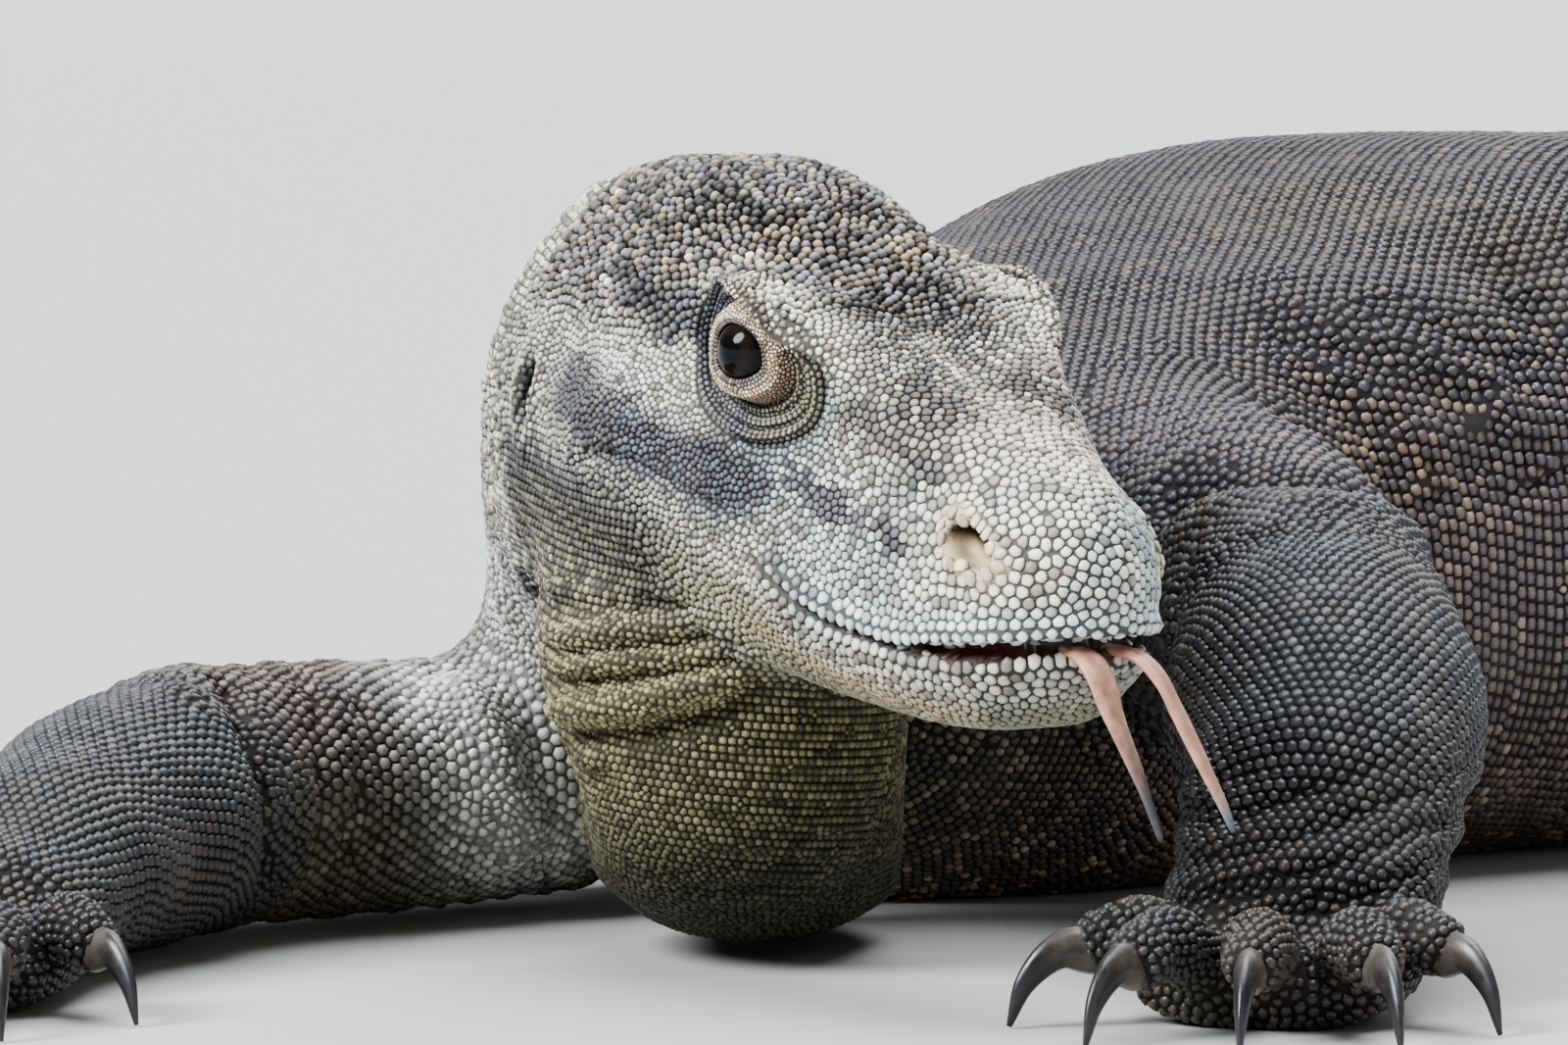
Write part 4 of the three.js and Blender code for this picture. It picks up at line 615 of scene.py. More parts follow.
def raycaster(me):
    P = coords(me); return BVHTree.FromPolygons([Vector(p) for p in P], [tuple(f.vertices) for f in me.polygons])
tree = raycaster(thin)
bm = bmesh.new(); bm.from_mesh(thin)
LIDS = []
for sgn in (1, -1):
    C, R, f, u, a = eye_frame(sgn)
    phi = 2 * np.pi * np.arange(LID_N) / LID_N; ro = opening(phi); top = brow_share(phi); tg = groove_t(phi)
    rows = []
    for t in LID_T:
        rho = ro + t * spread(phi)
        flat = C + f * (rho * np.cos(phi))[:, None] + u * (rho * np.sin(phi))[:, None]
        hs = np.empty(LID_N)
        if t > 2.0:
            for j in range(LID_N):
                hit = tree.ray_cast(Vector(flat[j] + a * 40), Vector(-a), 60)
                hs[j] = (np.array(hit[0]) - flat[j]) @ a if hit[0] is not None else 0
        rows.append([rho, flat, hs])
    T = np.repeat(LID_T[:, None], LID_N, 1)      # the folds sit closer together above the eye
    rim = np.sqrt(np.maximum(R * R - ro * ro, 1))
    H_in = rim[None, :] * 1.06 + LID_IN(T * 6.5 / tg[None, :])
    hs = np.array([r[2] for r in rows]); k = np.argmax(LID_T > 2.0); hs[:k] = hs[k]
    H_out = hs + LID_LOW(T) * (1 - top)[None, :] + LID_BROW(T) * top[None, :]
    m = smooth((tg - 2.1)[None, :], (tg + 0.7)[None, :], T)
    Hh = H_in * (1 - m) + H_out * m
    # small wrinkles along the folds
    Hh = Hh + 0.16 * np.sin(T * 2 * np.pi / 1.9 + 1.2 * np.sin(3 * phi + sgn)[None, :]) * smooth(1.6, 2.6, T) * smooth(17, 14, T) * (1 - 0.8 * top)[None, :]
    R_p = np.array([r[1] for r in rows]) + a * Hh[..., None]
    outer = rows[-1][0]
    # cut the old skin away inside the ring
    bm.verts.ensure_lookup_table()
    V = np.array([v.co for v in bm.verts]); rel = V - C; pf, pu, pa = rel @ f, rel @ u, rel @ a
    ang = np.arctan2(pu, pf) % (2 * np.pi); lim = np.interp(ang, np.append(phi, 2 * np.pi), np.append(outer, outer[0]))
    inside = (np.hypot(pf, pu) < lim + 0.25) & (pa > -6)
    kill = [fc for fc in bm.faces if any(inside[v.index] for v in fc.verts)]
    edge_before = set(e for e in bm.edges if e.is_boundary)
    bmesh.ops.delete(bm, geom=kill, context="FACES")
    for again in range(6):                       # no pinched corners, spikes or stray islands along the cut
        loop = [e for e in bm.edges if e.is_boundary and e not in edge_before]; count = {}
        for e in loop:
            for v in e.verts: count[v] = count.get(v, 0) + 1
        bad = {fc for v, c_ in count.items() if c_ > 2 for fc in v.link_faces} | {e.link_faces[0] for e in loop if sum(x.is_boundary for x in e.link_faces[0].edges) >= 2}
        if not bad: break
        bmesh.ops.delete(bm, geom=list(bad), context="FACES")
    loop = [e for e in bm.edges if e.is_boundary and e not in edge_before]
    bm.verts.index_update()
    ring = [[bm.verts.new(p) for p in row] for row in R_p]
    for i in range(len(ring) - 1):
        for j in range(LID_N):
            q = (ring[i][j], ring[i][(j + 1) % LID_N], ring[i + 1][(j + 1) % LID_N], ring[i + 1][j])
            bm.faces.new(q).normal_update()
    sheet = [f_ for r_ in ring for v in r_ for f_ in v.link_faces]; sheet = list(dict.fromkeys(sheet))
    if sum((f_.normal @ Vector(a)) * f_.calc_area() for f_ in sheet) < 0:
        for f_ in sheet: f_.normal_flip()
    bm.edges.index_update()
    last = [bm.edges.get((ring[-1][j], ring[-1][(j + 1) % LID_N])) for j in range(LID_N)]
    got = bmesh.ops.triangle_fill(bm, use_beauty=True, use_dissolve=False, edges=loop + last, normal=Vector(a))
    made = [f_ for f_ in got["geom"] if isinstance(f_, bmesh.types.BMFace)]
    for f_ in made: f_.normal_update()
    extra = set()
    for f_ in made:
        if any(len(e.link_faces) > 2 for e in f_.edges) or f_.calc_area() < 1e-7: extra.add(f_)
    for f_ in sorted(extra, key=lambda f_: f_.calc_area()):
        if f_.calc_area() < 1e-7 or any(len(e.link_faces) > 2 for e in f_.edges): made.remove(f_); bmesh.ops.delete(bm, geom=[f_], context="FACES_ONLY")
    todo = set(made)                             # turn the new faces the way of their neighbours
    while todo:
        done = []
        for f_ in todo:
            for e in f_.edges:
                if any(o_ is not f_ and o_ not in todo for o_ in e.link_faces):
                    if not e.is_contiguous: f_.normal_flip()
                    done.append(f_); break
            if done: break
        if not done: break
        todo.discard(done[0])
    LIDS.append((C, R, f, u, a, ro, R_p))
bmesh.ops.delete(bm, geom=[v for v in bm.verts if not v.link_faces], context="VERTS")
bm.to_mesh(thin); bm.free(); thin.update()
P = coords(thin); skin_tris = sum(len(p.vertices) - 2 for p in thin.polygons)
tick(f"lids: skin has {len(thin.polygons)} faces, {skin_tris} triangles")

# ---- scales: their places ----------------------------------------------------------------------
for p in thin.polygons: p.use_smooth = True
P = coords(thin); NRM = normals(thin)
tree = raycaster(thin)
thin.calc_loop_triangles()
TRI = np.empty(len(thin.loop_triangles) * 3, np.int32); thin.loop_triangles.foreach_get("vertices", TRI); TRI = TRI.reshape(-1, 3)
def snap(Q, reach=12.0):
    """Nearest place on the skin with its smooth normal; far points are marked out."""
    out = np.zeros((len(Q), 3)); nn = np.zeros((len(Q), 3)); ok = np.zeros(len(Q), bool); near = tree.find_nearest
    polys = thin.polygons
    for i, q in enumerate(Q):
        loc, n, k, d = near(q, reach)
        if loc is not None: out[i] = loc; nn[i] = n; ok[i] = True
    return out, nn, ok
vkd = KDTree(len(P))
for i, p in enumerate(P): vkd.insert(p, i)
vkd.balance()
def smooth_normal(Q):
    find = vkd.find_n; n = np.zeros((len(Q), 3))
    for i, q in enumerate(Q):
        for co, k, d in find(q, 3): n[i] += NRM[k] / (d + 0.4)
    return unit(n)

LID_C = [l[0] for l in LIDS]
def lid_t(Q):
    """How far each point lies outside the eye opening, and its angle (t as in LID_T); 99 where far from both eyes."""
    t = np.full(len(Q), 99.0); ph = np.zeros(len(Q))
    for C, R, f, u, a, ro, Rp in LIDS:
        r = Q - C; pa = r @ a; rho = np.hypot(r @ f, r @ u); w = (rho < 34) & (pa > -7)
        an = np.arctan2(r @ u, r @ f); tt = (rho - opening(an)) / spread(an)
        w &= tt < t; t[w] = tt[w]; ph[w] = an[w]
    return t, ph

CHEST_BAND = [(-76, 170, 90), (-77, 164, 74), (-76, 160, 58), (-72, 158, 45), (-67, 158, 30), (-60, 166, 14)]      # the pale fold before the right arm
def size_at(z):
    """The width of a scale, in mm, at each point."""
    x, y, zz = z["L"].T; ay = np.abs(y)
    snout = smooth(112, 160, x)
    hs = 2.35 + 0 * x
    hs += (3.15 - hs) * snout * smooth(36, 22, zz)                                            # sides of the snout and lips
    hs += (2.9 - hs) * smooth(116, 146, x) * smooth(22, 34, zz)                               # top of the snout
    hs += (3.0 - hs) * smooth(40, 56, zz + 0.10 * (60 - x)) * smooth(112, 84, x)             # crown
    hs += (2.1 - hs) * smooth(100, 84, x) * smooth(46, 34, zz) * smooth(-4, 8, zz)            # temple and cheek
    lz = H["lipZ"](x); hs += (3.5 - hs) * smooth(7.0, 3.5, np.abs(zz - lz)) * smooth(100, 112, x)        # lips
    hs += (2.5 - hs) * smooth(lz - 9, lz - 14, zz)                                            # under the jaw
    t, ph = lid_t(z["P"]); q_ = t / groove_t(ph); hs = np.where(t < 20, np.interp(q_, [0, 0.85, 1.2, 1.9, 2.9], [1.0, 1.1, 1.3, 1.6, 2.2]) * (1 + 0.25 * brow_share(ph) * (q_ > 1.05)), hs)
    body = body_size(z["s"])
    s = body * (1 - z["is_throat"]) + 2.2 * z["is_throat"]
    s = s + (2.15 - s) * smooth(6, 1, z["throat"]) * smooth(150, 110, z["P"][:, 1])
    up_ = np.minimum(z["fore_left_upper"], z["fore_right_upper"]); lo_ = np.minimum(z["fore_left_lower"], z["fore_right_lower"])
    fore = 3.15 + 0.5 * smooth(4, -4, up_ - lo_)
    s = s + (fore - s) * z["is_fore"]; s = s + (4.9 - s) * z["is_hind"]
    d, t_, u_ = along(z["P"], CHEST_BAND, 34); s = s + (2.6 - s) * bump(d, 15)
    s = s + (3.0 - s) * smooth(3, -3, z["foot"])
    return s + (hs - s) * z["is_head"]
def body_size(s): return np.interp(s, [0, 60, S_TRUNK, S_TRUNK + 120, S_TRUNK + 300, S_HIP, S_HIP + 400, S_HIP + 900, S_HIP + 1300], [2.2, 2.5, 3.4, 3.9, 4.2, 6.1, 6.0, 5.0, 3.6])

def stretch(rings, ds):
    """Rings at equal steps ds along a loft."""
    c = rings.mean(1); s = np.concatenate([[0], np.cumsum(np.linalg.norm(np.diff(c, axis=0), axis=1))])
    step = []; v = 0.0
    while v < s[-1]: step.append(v); v += ds(v) if callable(ds) else ds
    step = np.array(step); i = np.clip(np.searchsorted(s, step, side="right") - 1, 0, len(s) - 2); f = (step - s[i]) / np.maximum(s[i + 1] - s[i], 1e-6)
    return rings[i] * (1 - f)[:, None, None] + rings[i + 1] * f[:, None, None], step
def rows(rings, ds, dv, wobble=0.06):
    """Staggered rows of places round a loft, ds apart along it and dv round it."""
    R, at = stretch(rings, ds); out, dirs = [], []
    for k, ring in enumerate(R):
        loop = np.vstack([ring, ring[:1]]); seg = np.linalg.norm(np.diff(loop, axis=0), axis=1); c = np.concatenate([[0], np.cumsum(seg)])
        w = dv(at[k]) if callable(dv) else dv
        m = max(6, int(round(c[-1] / w))); q = ((np.arange(m) + 0.5 * (k % 2) + RNG.uniform(-wobble, wobble, m)) / m % 1) * c[-1]
        i = np.clip(np.searchsorted(c, q, side="right") - 1, 0, len(seg) - 1); f = (q - c[i]) / seg[i]
        out.append(loop[i] * (1 - f)[:, None] + loop[i + 1] * f[:, None]); dirs.append(unit(loop[i + 1] - loop[i]))
    return np.vstack(out), np.vstack(dirs)

def neck_rows():
    """Level rows round the throat, the neck's sides and the angle of the jaw, found by rays towards the throat's axis."""
    ax = np.array([-20.0, 112.0]); pts, dirs = [], []
    for k, z0 in enumerate(np.arange(4, 142, 2.0)):
        run = []
        for a in np.radians(np.arange(-185, 5, 0.6)):
            d = np.array([math.cos(a), math.sin(a)]); o = ax + d * 190
            zt = z0 - 0.12 * d[0] * 60 + 0.10 * d[1] * 40
            loc, n, f, dist = tree.ray_cast(Vector((o[0], o[1], zt)), Vector((-d[0], -d[1], 0)), 190)
            run.append(np.array(loc) if loc is not None else np.array([np.nan] * 3))
        run = np.array(run); jump = np.r_[True, ~(np.linalg.norm(np.diff(run, axis=0), axis=1) < 5)]
        st = np.nonzero(jump)[0]; st = np.r_[st, len(run)]
        for a_, b_ in zip(st[:-1], st[1:]):
            q = run[a_:b_]
            if len(q) < 4 or np.isnan(q).any(): continue
            c = np.r_[0, np.cumsum(np.linalg.norm(np.diff(q, axis=0), axis=1))]; at = np.arange(1.1 * (k % 2), c[-1], 2.2) + RNG.uniform(-0.1, 0.1)
            at = at[(at >= 0) & (at < c[-1])]
            p = np.stack([np.interp(at, c, q[:, i]) for i in range(3)], 1); e = np.stack([np.interp(at + 0.3, c, q[:, i]) - np.interp(at - 0.3, c, q[:, i]) for i in range(3)], 1)
            pts.append(p); dirs.append(unit(e))
    return np.vstack(pts), np.vstack(dirs)
def level_zone(z):
    """Where the level rows of the neck lie."""
    x, y, zz = z["L"].T
    jawangle = smooth(66, 56, x) * smooth(8, 2, zz + 0.25 * (x - 40)); neck = smooth(178, 168, z["P"][:, 1])
    return ((z["is_head"] < 0.5) | (jawangle > 0.5)) & (neck > 0.5) & (z["fore"] > 1.5) & (z["P"][:, 2] < 140) & ((z["is_head"] > 0.5) | (z["P"][:, 2] < 112))

places, rowdir, kind = [], [], []
def add(Q, V, k=0): places.append(Q); rowdir.append(V); kind.append(np.full(len(Q), k))
add(*neck_rows(), 1)
add(*rows(body_run, lambda s: body_size(s) * 0.88, lambda s: body_size(s) * 1.0))
for leg in LEGS:
    a_, b_ = (3.2, 3.6), (2.75, 3.1)
    if "hind" in leg: a_, b_ = (4.3, 4.8), (4.2, 4.7)
    add(*rows(PARTS[leg + "_upper"], *a_)); add(*rows(PARTS[leg + "_lower"], *b_)); add(*rows(PARTS[leg + "_palm"], 2.8, 3.0))
    for i in range(5): add(*rows(PARTS[f"{leg}_toe{i + 1}"], 2.7, 3.0))
kind = np.concatenate(kind)
Q, V = np.vstack(places), np.vstack(rowdir)
tick(f"rows: {len(Q)} places")
q, n, ok = snap(Q, 9.0)
zq = zones(q)
lv = level_zone(zq)
ok &= np.where(kind == 1, lv, (zq["is_head"] < 0.5) & ~lv) & (q[:, 2] > 0.9) & (np.linalg.norm(q - Q, axis=1) < 8.5)
Q, V = q[ok], V[ok]

# the head: rows along the lips, the rest scattered and then pushed apart evenly
hx = np.arange(103, 199.5, 0.25); lips = []
for sgn in (1, -1):
    for above in (1, -1):
        base = np.stack([hx, sgn * (H["lipY"](hx) + 0 * hx) * np.sqrt(np.maximum(0.02, 1 - np.maximum(0, (hx - 175) / 25) ** 2.3)), H["lipZ"](hx) - 0.4 + above * (mouth_half(hx) + 1.75)], 1)
        W = head_world(base); s = np.concatenate([[0], np.cumsum(np.linalg.norm(np.diff(W, axis=0), axis=1))])
        at = np.arange(1.5 + 0.7 * (above > 0), s[-1], 3.35); lips.append(np.stack([np.interp(at, s, W[:, i]) for i in range(3)], 1))
lips = np.vstack(lips); lips, _, okl = snap(lips, 6.0); lips = lips[okl]

lid_rows = []
for C, R, f, u, a, ro, Rp in LIDS:
    phi = np.arctan2((Rp[5] - C) @ u, (Rp[5] - C) @ f)
    for t, w in [(0.7 + 0.88 * k, 1.0 + 0.02 * k) for k in range(7)] + [(6.8 + 1.12 * k, 1.35 + 0.06 * k) for k in range(10)]:
        i = int(np.searchsorted(LID_T, t)); fr = (t - LID_T[i - 1]) / (LID_T[i] - LID_T[i - 1]); ring = Rp[i - 1] * (1 - fr) + Rp[i] * fr
        loop = np.vstack([ring, ring[:1]]); c = np.concatenate([[0], np.cumsum(np.linalg.norm(np.diff(loop, axis=0), axis=1))]); m = int(c[-1] / w)
        at = (np.arange(m) + RNG.rand()) / m * c[-1]; lid_rows.append(np.stack([np.interp(at % c[-1], c, loop[:, j]) for j in range(3)], 1))
lid_rows = np.vstack(lid_rows)

zt = zones(P[TRI].mean(1)); ar = np.linalg.norm(np.cross(P[TRI[:, 1]] - P[TRI[:, 0]], P[TRI[:, 2]] - P[TRI[:, 0]]), axis=1) / 2
st = size_at(zt); tl, _ = lid_t(zt["P"])
pick = (zt["is_head"] > 0.42) & (tl > 17.0)
lz = H["lipZ"](zt["L"][:, 0]) - 0.4
inside_mouth = (np.abs(zt["L"][:, 2] - lz) < mouth_half(zt["L"][:, 0]) + 0.55) & (zt["L"][:, 0] > 101) & (zt["is_head"] > 0.3)
pit = (nostril(zt["L"][:, 0], np.abs(zt["L"][:, 1]), zt["L"][:, 2]) < 1.42) | ((np.hypot((zt["L"][:, 0] - EAR[0]) / 3.2, (zt["L"][:, 2] - EAR[2]) / 9.5) < 0.8) & (np.abs(zt["L"][:, 1]) > 20))
pit &= zt["is_head"] > 0.3
pick &= ~inside_mouth & ~pit & ~level_zone(zt)
open_skin = ~inside_mouth & ~pit & (zt["P"][:, 2] > 1.5) & (tl > 0.6)
wt = np.where(pick, ar / (0.80 * st * st), 0); m = int(wt.sum())
def scatter(wt, m):
    k = RNG.choice(len(TRI), m, p=wt / wt.sum()); b = RNG.rand(m, 2); b = np.where(b.sum(1, keepdims=True) > 1, 1 - b, b)
    T = P[TRI[k]]; return T[:, 0] + b[:, :1] * (T[:, 1] - T[:, 0]) + b[:, 1:] * (T[:, 2] - T[:, 0])
heads = scatter(wt, m); fixed = np.vstack([lips, lid_rows])
def neighbours(Q, k):
    kd = KDTree(len(Q))
    for i, p in enumerate(Q): kd.insert(p, i)
    kd.balance(); J = np.zeros((len(Q), k), int); find = kd.find_n
    for i, p in enumerate(Q):
        r = [e[1] for e in find(p, k + 1)]; r = [j for j in r if j != i][:k]; J[i, :len(r)] = r
        if len(r) < k: J[i, len(r):] = r[-1]
    return J
for it in range(14):
    A = np.vstack([heads, fixed]); s = size_at(zones(A)) if it % 4 == 0 else s
    J = neighbours(A, 7)[:len(heads)]; d = A[:len(heads), None] - A[J]; r = np.linalg.norm(d, axis=2); want = 0.5 * (s[:len(heads), None] + s[J]) * 1.04
    push = np.clip(1 - r / want, 0, 1)[..., None] * d / np.maximum(r, 0.05)[..., None] * want[..., None] * 0.42
    heads = heads + push.sum(1) + RNG.normal(0, 0.03, heads.shape) * (it < 8)
    q, n, ok = snap(heads, 8.0); heads = np.where(ok[:, None], q, heads)
heads = heads[ok]
tick(f"head: {len(heads)} scattered, {len(lips)} lip, {len(lid_rows)} lid")

ALL = np.vstack([lid_rows, lips, heads, Q]); VD = np.vstack([np.zeros((len(lid_rows) + len(lips) + len(heads), 3)), V])
def thin_out(A, s, keep=0.68):
    """Drops a place that is too near an earlier one."""
    kd = KDTree(len(A))
    for i, p in enumerate(A): kd.insert(p, i)
    kd.balance(); alive = np.ones(len(A), bool); rng = kd.find_range
    for i in range(len(A)):
        if alive[i]:
            for co, j, d in rng(A[i], keep * s[i]):
                if j > i and d < keep * 0.5 * (s[i] + s[j]): alive[j] = False
    return alive
s = size_at(zones(ALL)); al = thin_out(ALL, s); ALL, VD, s = ALL[al], VD[al], s[al]
tick(f"thinned to {len(ALL)}")
# fill the bare places
wt = ar / (st * st) * open_skin * np.where(tl < 26, 3.0, 1.0); cand = scatter(wt, 170000); cs = size_at(zones(cand)); cd = np.zeros((len(cand), 3))
for again in range(2):
    kd = KDTree(len(ALL))
    for i, p in enumerate(ALL): kd.insert(p, i)
    kd.balance(); far = np.array([kd.find(p)[2] for p in cand]); keep = far > (0.72 if again == 0 else 0.61) * cs; cand, cs = cand[keep], cs[keep]
    al = thin_out(cand, cs, 0.77); ALL = np.vstack([ALL, cand[al]]); VD = np.vstack([VD, np.zeros((al.sum(), 3))]); s = np.concatenate([s, cs[al]])
    if again == 0:                               # a second, closer pass over the fore half, where folds spread the rows
        zz_ = zt["P"]; part_ = open_skin & (zz_[:, 0] < 330) & (zz_[:, 1] < 560)
        cand = scatter(ar / (st * st) * part_ * np.where(tl < 26, 3.0, 1.0), 170000); cs = size_at(zones(cand))
tick(f"filled to {len(ALL)}")
NB = neighbours(ALL, 9)
Z = zones(ALL); NS = smooth_normal(ALL)
tick("neighbours")

# ---- colours: functions of place on the animal, the same for skin and scales ---------------------------------------
C_ = lambda *v: srgb(*v)
CREAM, PALE, TEAL, TAN, ROSE = C_(242, 232, 210), C_(228, 229, 225), C_(154, 178, 176), C_(186, 158, 120), C_(188, 168, 158)
SLATE, DARK, BROWN, UMBER, OLIVE, STRAW = C_(118, 120, 132), C_(44, 42, 48), C_(92, 78, 68), C_(56, 47, 42), C_(104, 100, 66), C_(150, 142, 100)
GREY, MAUVE, DORSAL, ASH, ORANGE = C_(104, 102, 104), C_(98, 90, 94), C_(112, 106, 112), C_(66, 66, 72), C_(222, 186, 134)
def mixc(a, b, t): t = np.clip(t, 0, 1)[:, None]; return a * (1 - t) + b * t

def paint(z, R):
    """Albedo at each point; R is a random number for each scale, or the same 0.5 on the skin."""
    P, L = z["P"], z["L"]; x, y, zz = L.T; ay = np.abs(y); n = len(P); one = np.ones((n, 1))
    LM = np.stack([x, ay, zz], 1); g = lambda c, s: np.exp(-(((LM - c) / s) ** 2).sum(1))
    blot = fbm(P, 17); fine_ = N3(P, 5.5); mid = fbm(P, 34, N2)
    # body: mauve brown, greyer and lighter above, darker below, mottled; brown patches on the top, which also paint the
    # shade of the dips behind the shoulder
    up = smooth(60, 165, P[:, 2]); b10 = fbm(P, 12, N4)
    body = mixc(UMBER * 1.2 * one, MAUVE * one, smooth(15, 100, P[:, 2])); body = mixc(body, DORSAL * 0.66, up * np.clip(0.55 + 0.6 * mid, 0, 1))
    body = mixc(body, UMBER * 1.1, smooth(0.05, 0.55, fbm(P, 70, N3)) * 0.75); body = mixc(body, BROWN * 1.1, smooth(0.55, 0.8, R) * 0.45); body = mixc(body, C_(160, 140, 118) * one, smooth(0.80, 0.95, R + 0.12 * b10) * smooth(-0.2, 0.4, mid) * 0.6)
    # brown patches on the trunk's top, partly the hide's colour and partly painted shade of the dips behind the
    # shoulder
    blotch = lambda c, q: np.exp(-(((P - c) / q) ** 2).sum(1)); brown_patch_and_shade = blotch([133, 322, 171], [34, 40, 12]) + blotch([188, 303, 160], [22, 34, 16]) + 0.7 * blotch([250, 380, 168], [40, 30, 20])
    body = mixc(body, mixc(C_(88, 72, 60) * one, C_(120, 104, 92) * one, R), np.clip(brown_patch_and_shade, 0, 1) * 0.8)
    body = mixc(body, mixc(C_(78, 66, 56) * one, C_(128, 104, 78) * one, smooth(0.5, 0.9, R)), blotch([140, 238, 104], [50, 30, 24]) * 0.6)
    body = body * (1.62 - 1.16 * up)[:, None]; tl = smooth(S_HIP + 200, S_HIP + 900, z["s"]); body = mixc(body, body * 0.72, tl)
    # legs: slate and bluish grey scales over brown, darker and browner at the foot; the lower left forearm is darkened
    # more, as painted shade
    arm = mixc(C_(84, 84, 88) * one, C_(88, 76, 68) * one, smooth(-0.5, 0.6, mid + 0.8 * (R - 0.5))); arm = mixc(arm, C_(122, 124, 128) * one, smooth(0.66, 0.92, R) * smooth(30, 60, P[:, 2]) * 0.5); arm = mixc(arm, C_(84, 96, 104) * one, smooth(0.0, 0.5, fbm(P + 90, 40, N3)) * 0.35)
    arm = mixc(arm, UMBER * 1.1, smooth(40, 8, P[:, 2]) * 0.7); arm = mixc(arm, OLIVE * 0.8, smooth(0.1, 0.6, N4(P, 42)) * smooth(70, 20, P[:, 2]) * 0.3)
    ru = smooth(4, -4, z["fore_right_upper"]); ra = mixc(C_(112, 88, 82) * one, C_(150, 138, 124) * one, smooth(0.6, 0.95, R + 0.3 * b10)); ra = mixc(ra, mixc(OLIVE, STRAW * 0.8, R), smooth(50, 22, P[:, 2]) * 0.75)
    arm = mixc(arm, ra * 1.2, ru * 0.85)
    # painted shade: the lower part of the left forearm made much darker
    arm = mixc(arm, arm * 0.29, smooth(85, 45, P[:, 2]) * smooth(3, -3, z["fore_left_lower"]) * 0.9)
    arm = arm * 0.74
    col = mixc(body, arm, np.clip(z["is_fore"] * (1 - smooth(108, 120, P[:, 2] + 4 * b10)) + 0.8 * z["is_hind"], 0, 1))
    # neck and throat
    nk = smooth(190, 80, z["s"]) * (1 - z["is_fore"]) * (1 - z["is_hind"])
    neck = mixc(C_(104, 100, 108) * one, C_(146, 140, 138) * one, smooth(-0.3, 0.5, mid + 0.6 * (R - 0.5))); neck = mixc(neck, CREAM * 0.8, smooth(0.68, 0.9, R + 0.3 * b10) * 0.75); neck = mixc(neck, mixc(C_(150, 142, 138) * one, C_(224, 218, 204) * one, smooth(0.25, 0.7, R + 0.25 * b10)), smooth(-26, -40, P[:, 0]) * smooth(84, 104, P[:, 2]) * smooth(150, 120, P[:, 1]) * 0.85)
    neck = mixc(neck, STRAW * 0.75, smooth(84, 58, P[:, 2]) * 0.45)
    col = mixc(col, neck, nk)
    th = np.clip(z["is_throat"] + smooth(8, 0, z["throat"]) * smooth(150, 110, P[:, 1]), 0, 1) * (1 - z["is_fore"])
    # the dark olive mixed in low on the throat is painted shade towards the floor; its blotchy share is the hide's
    # mottling
    throat = mixc(C_(98, 94, 68) * one, C_(150, 144, 108) * one, smooth(0.15, 0.85, 0.7 * R + 0.3 * (mid + 0.5))); throat = mixc(throat, C_(50, 49, 38) * one, smooth(58, 14, P[:, 2]) * 0.5 + smooth(0.1, 0.6, blot) * 0.25)
    throat = mixc(throat, mixc(C_(104, 98, 92) * one, C_(186, 178, 150) * one, smooth(0.3, 0.8, R + 0.2 * b10)), smooth(60, 86, P[:, 2]) * 0.8)
    fold = 0 * x
    for keys, a_, w_ in THROAT_FOLDS[:3]:
        d, t, u_ = along(P, keys, 16); fold = np.maximum(fold, bump(d, w_ * 1.1) * fade(t, 0.1))
    # the last factor darkens the throat towards the floor: painted shade
    throat = mixc(throat, C_(196, 182, 140) * one, np.clip(fold * (0.6 + 0.4 * R), 0, 1)); throat = throat * (0.88 - 0.56 * smooth(56, 8, P[:, 2]))[:, None]
    col = mixc(col, throat, th)
    # the chest band's pale scales, made brighter still as painted light where the head's shadow falls on them
    d, t, u_ = along(P, CHEST_BAND, 34); col = mixc(col, mixc(C_(196, 194, 190) * one, C_(228, 226, 218) * one, R), np.clip(1.7 * bump(d, 21), 0, 1) * (0.86 + 0.12 * smooth(0.1, 0.4, R)))
    # head
    b10 = fbm(P, 10, N4); dk = R + 0.45 * b10
    hd = mixc(CREAM * one, PALE * one, 0.5 + 0.7 * blot); hd = mixc(hd, C_(236, 226, 204) * one, smooth(0.55, 0.9, R) * 0.6); hd = mixc(hd, C_(158, 146, 128) * one, smooth(0.30, 0.05, R + 0.3 * b10) * 0.75)
    snout = smooth(92, 140, x)
    teal = snout * smooth(40, 20, zz) * smooth(-0.15, 0.5, mid + 0.4 * blot) * 0.75 + 0.95 * g([108, 36, 20], [12, 16, 7]) + 0.8 * g([88, 44, 8], [14, 16, 6]) + 0.45 * smooth(162, 188, x) * smooth(-0.2, 0.4, blot)
    hd = mixc(hd, TEAL * one, np.clip(teal, 0, 1) * 0.75)
    hd = mixc(hd, C_(226, 236, 236) * one, smooth(9, 3, np.abs(zz - H["lipZ"](x) - 4)) * smooth(100, 116, x) * 0.8)
    hd = mixc(hd, C_(222, 230, 232) * one, g([128, 34, 10], [26, 14, 12]) * 0.7)
    hd = mixc(hd, ROSE * one, smooth(28, 40, zz) * smooth(116, 136, x) * (0.25 + 0.4 * smooth(-0.2, 0.5, b10)))
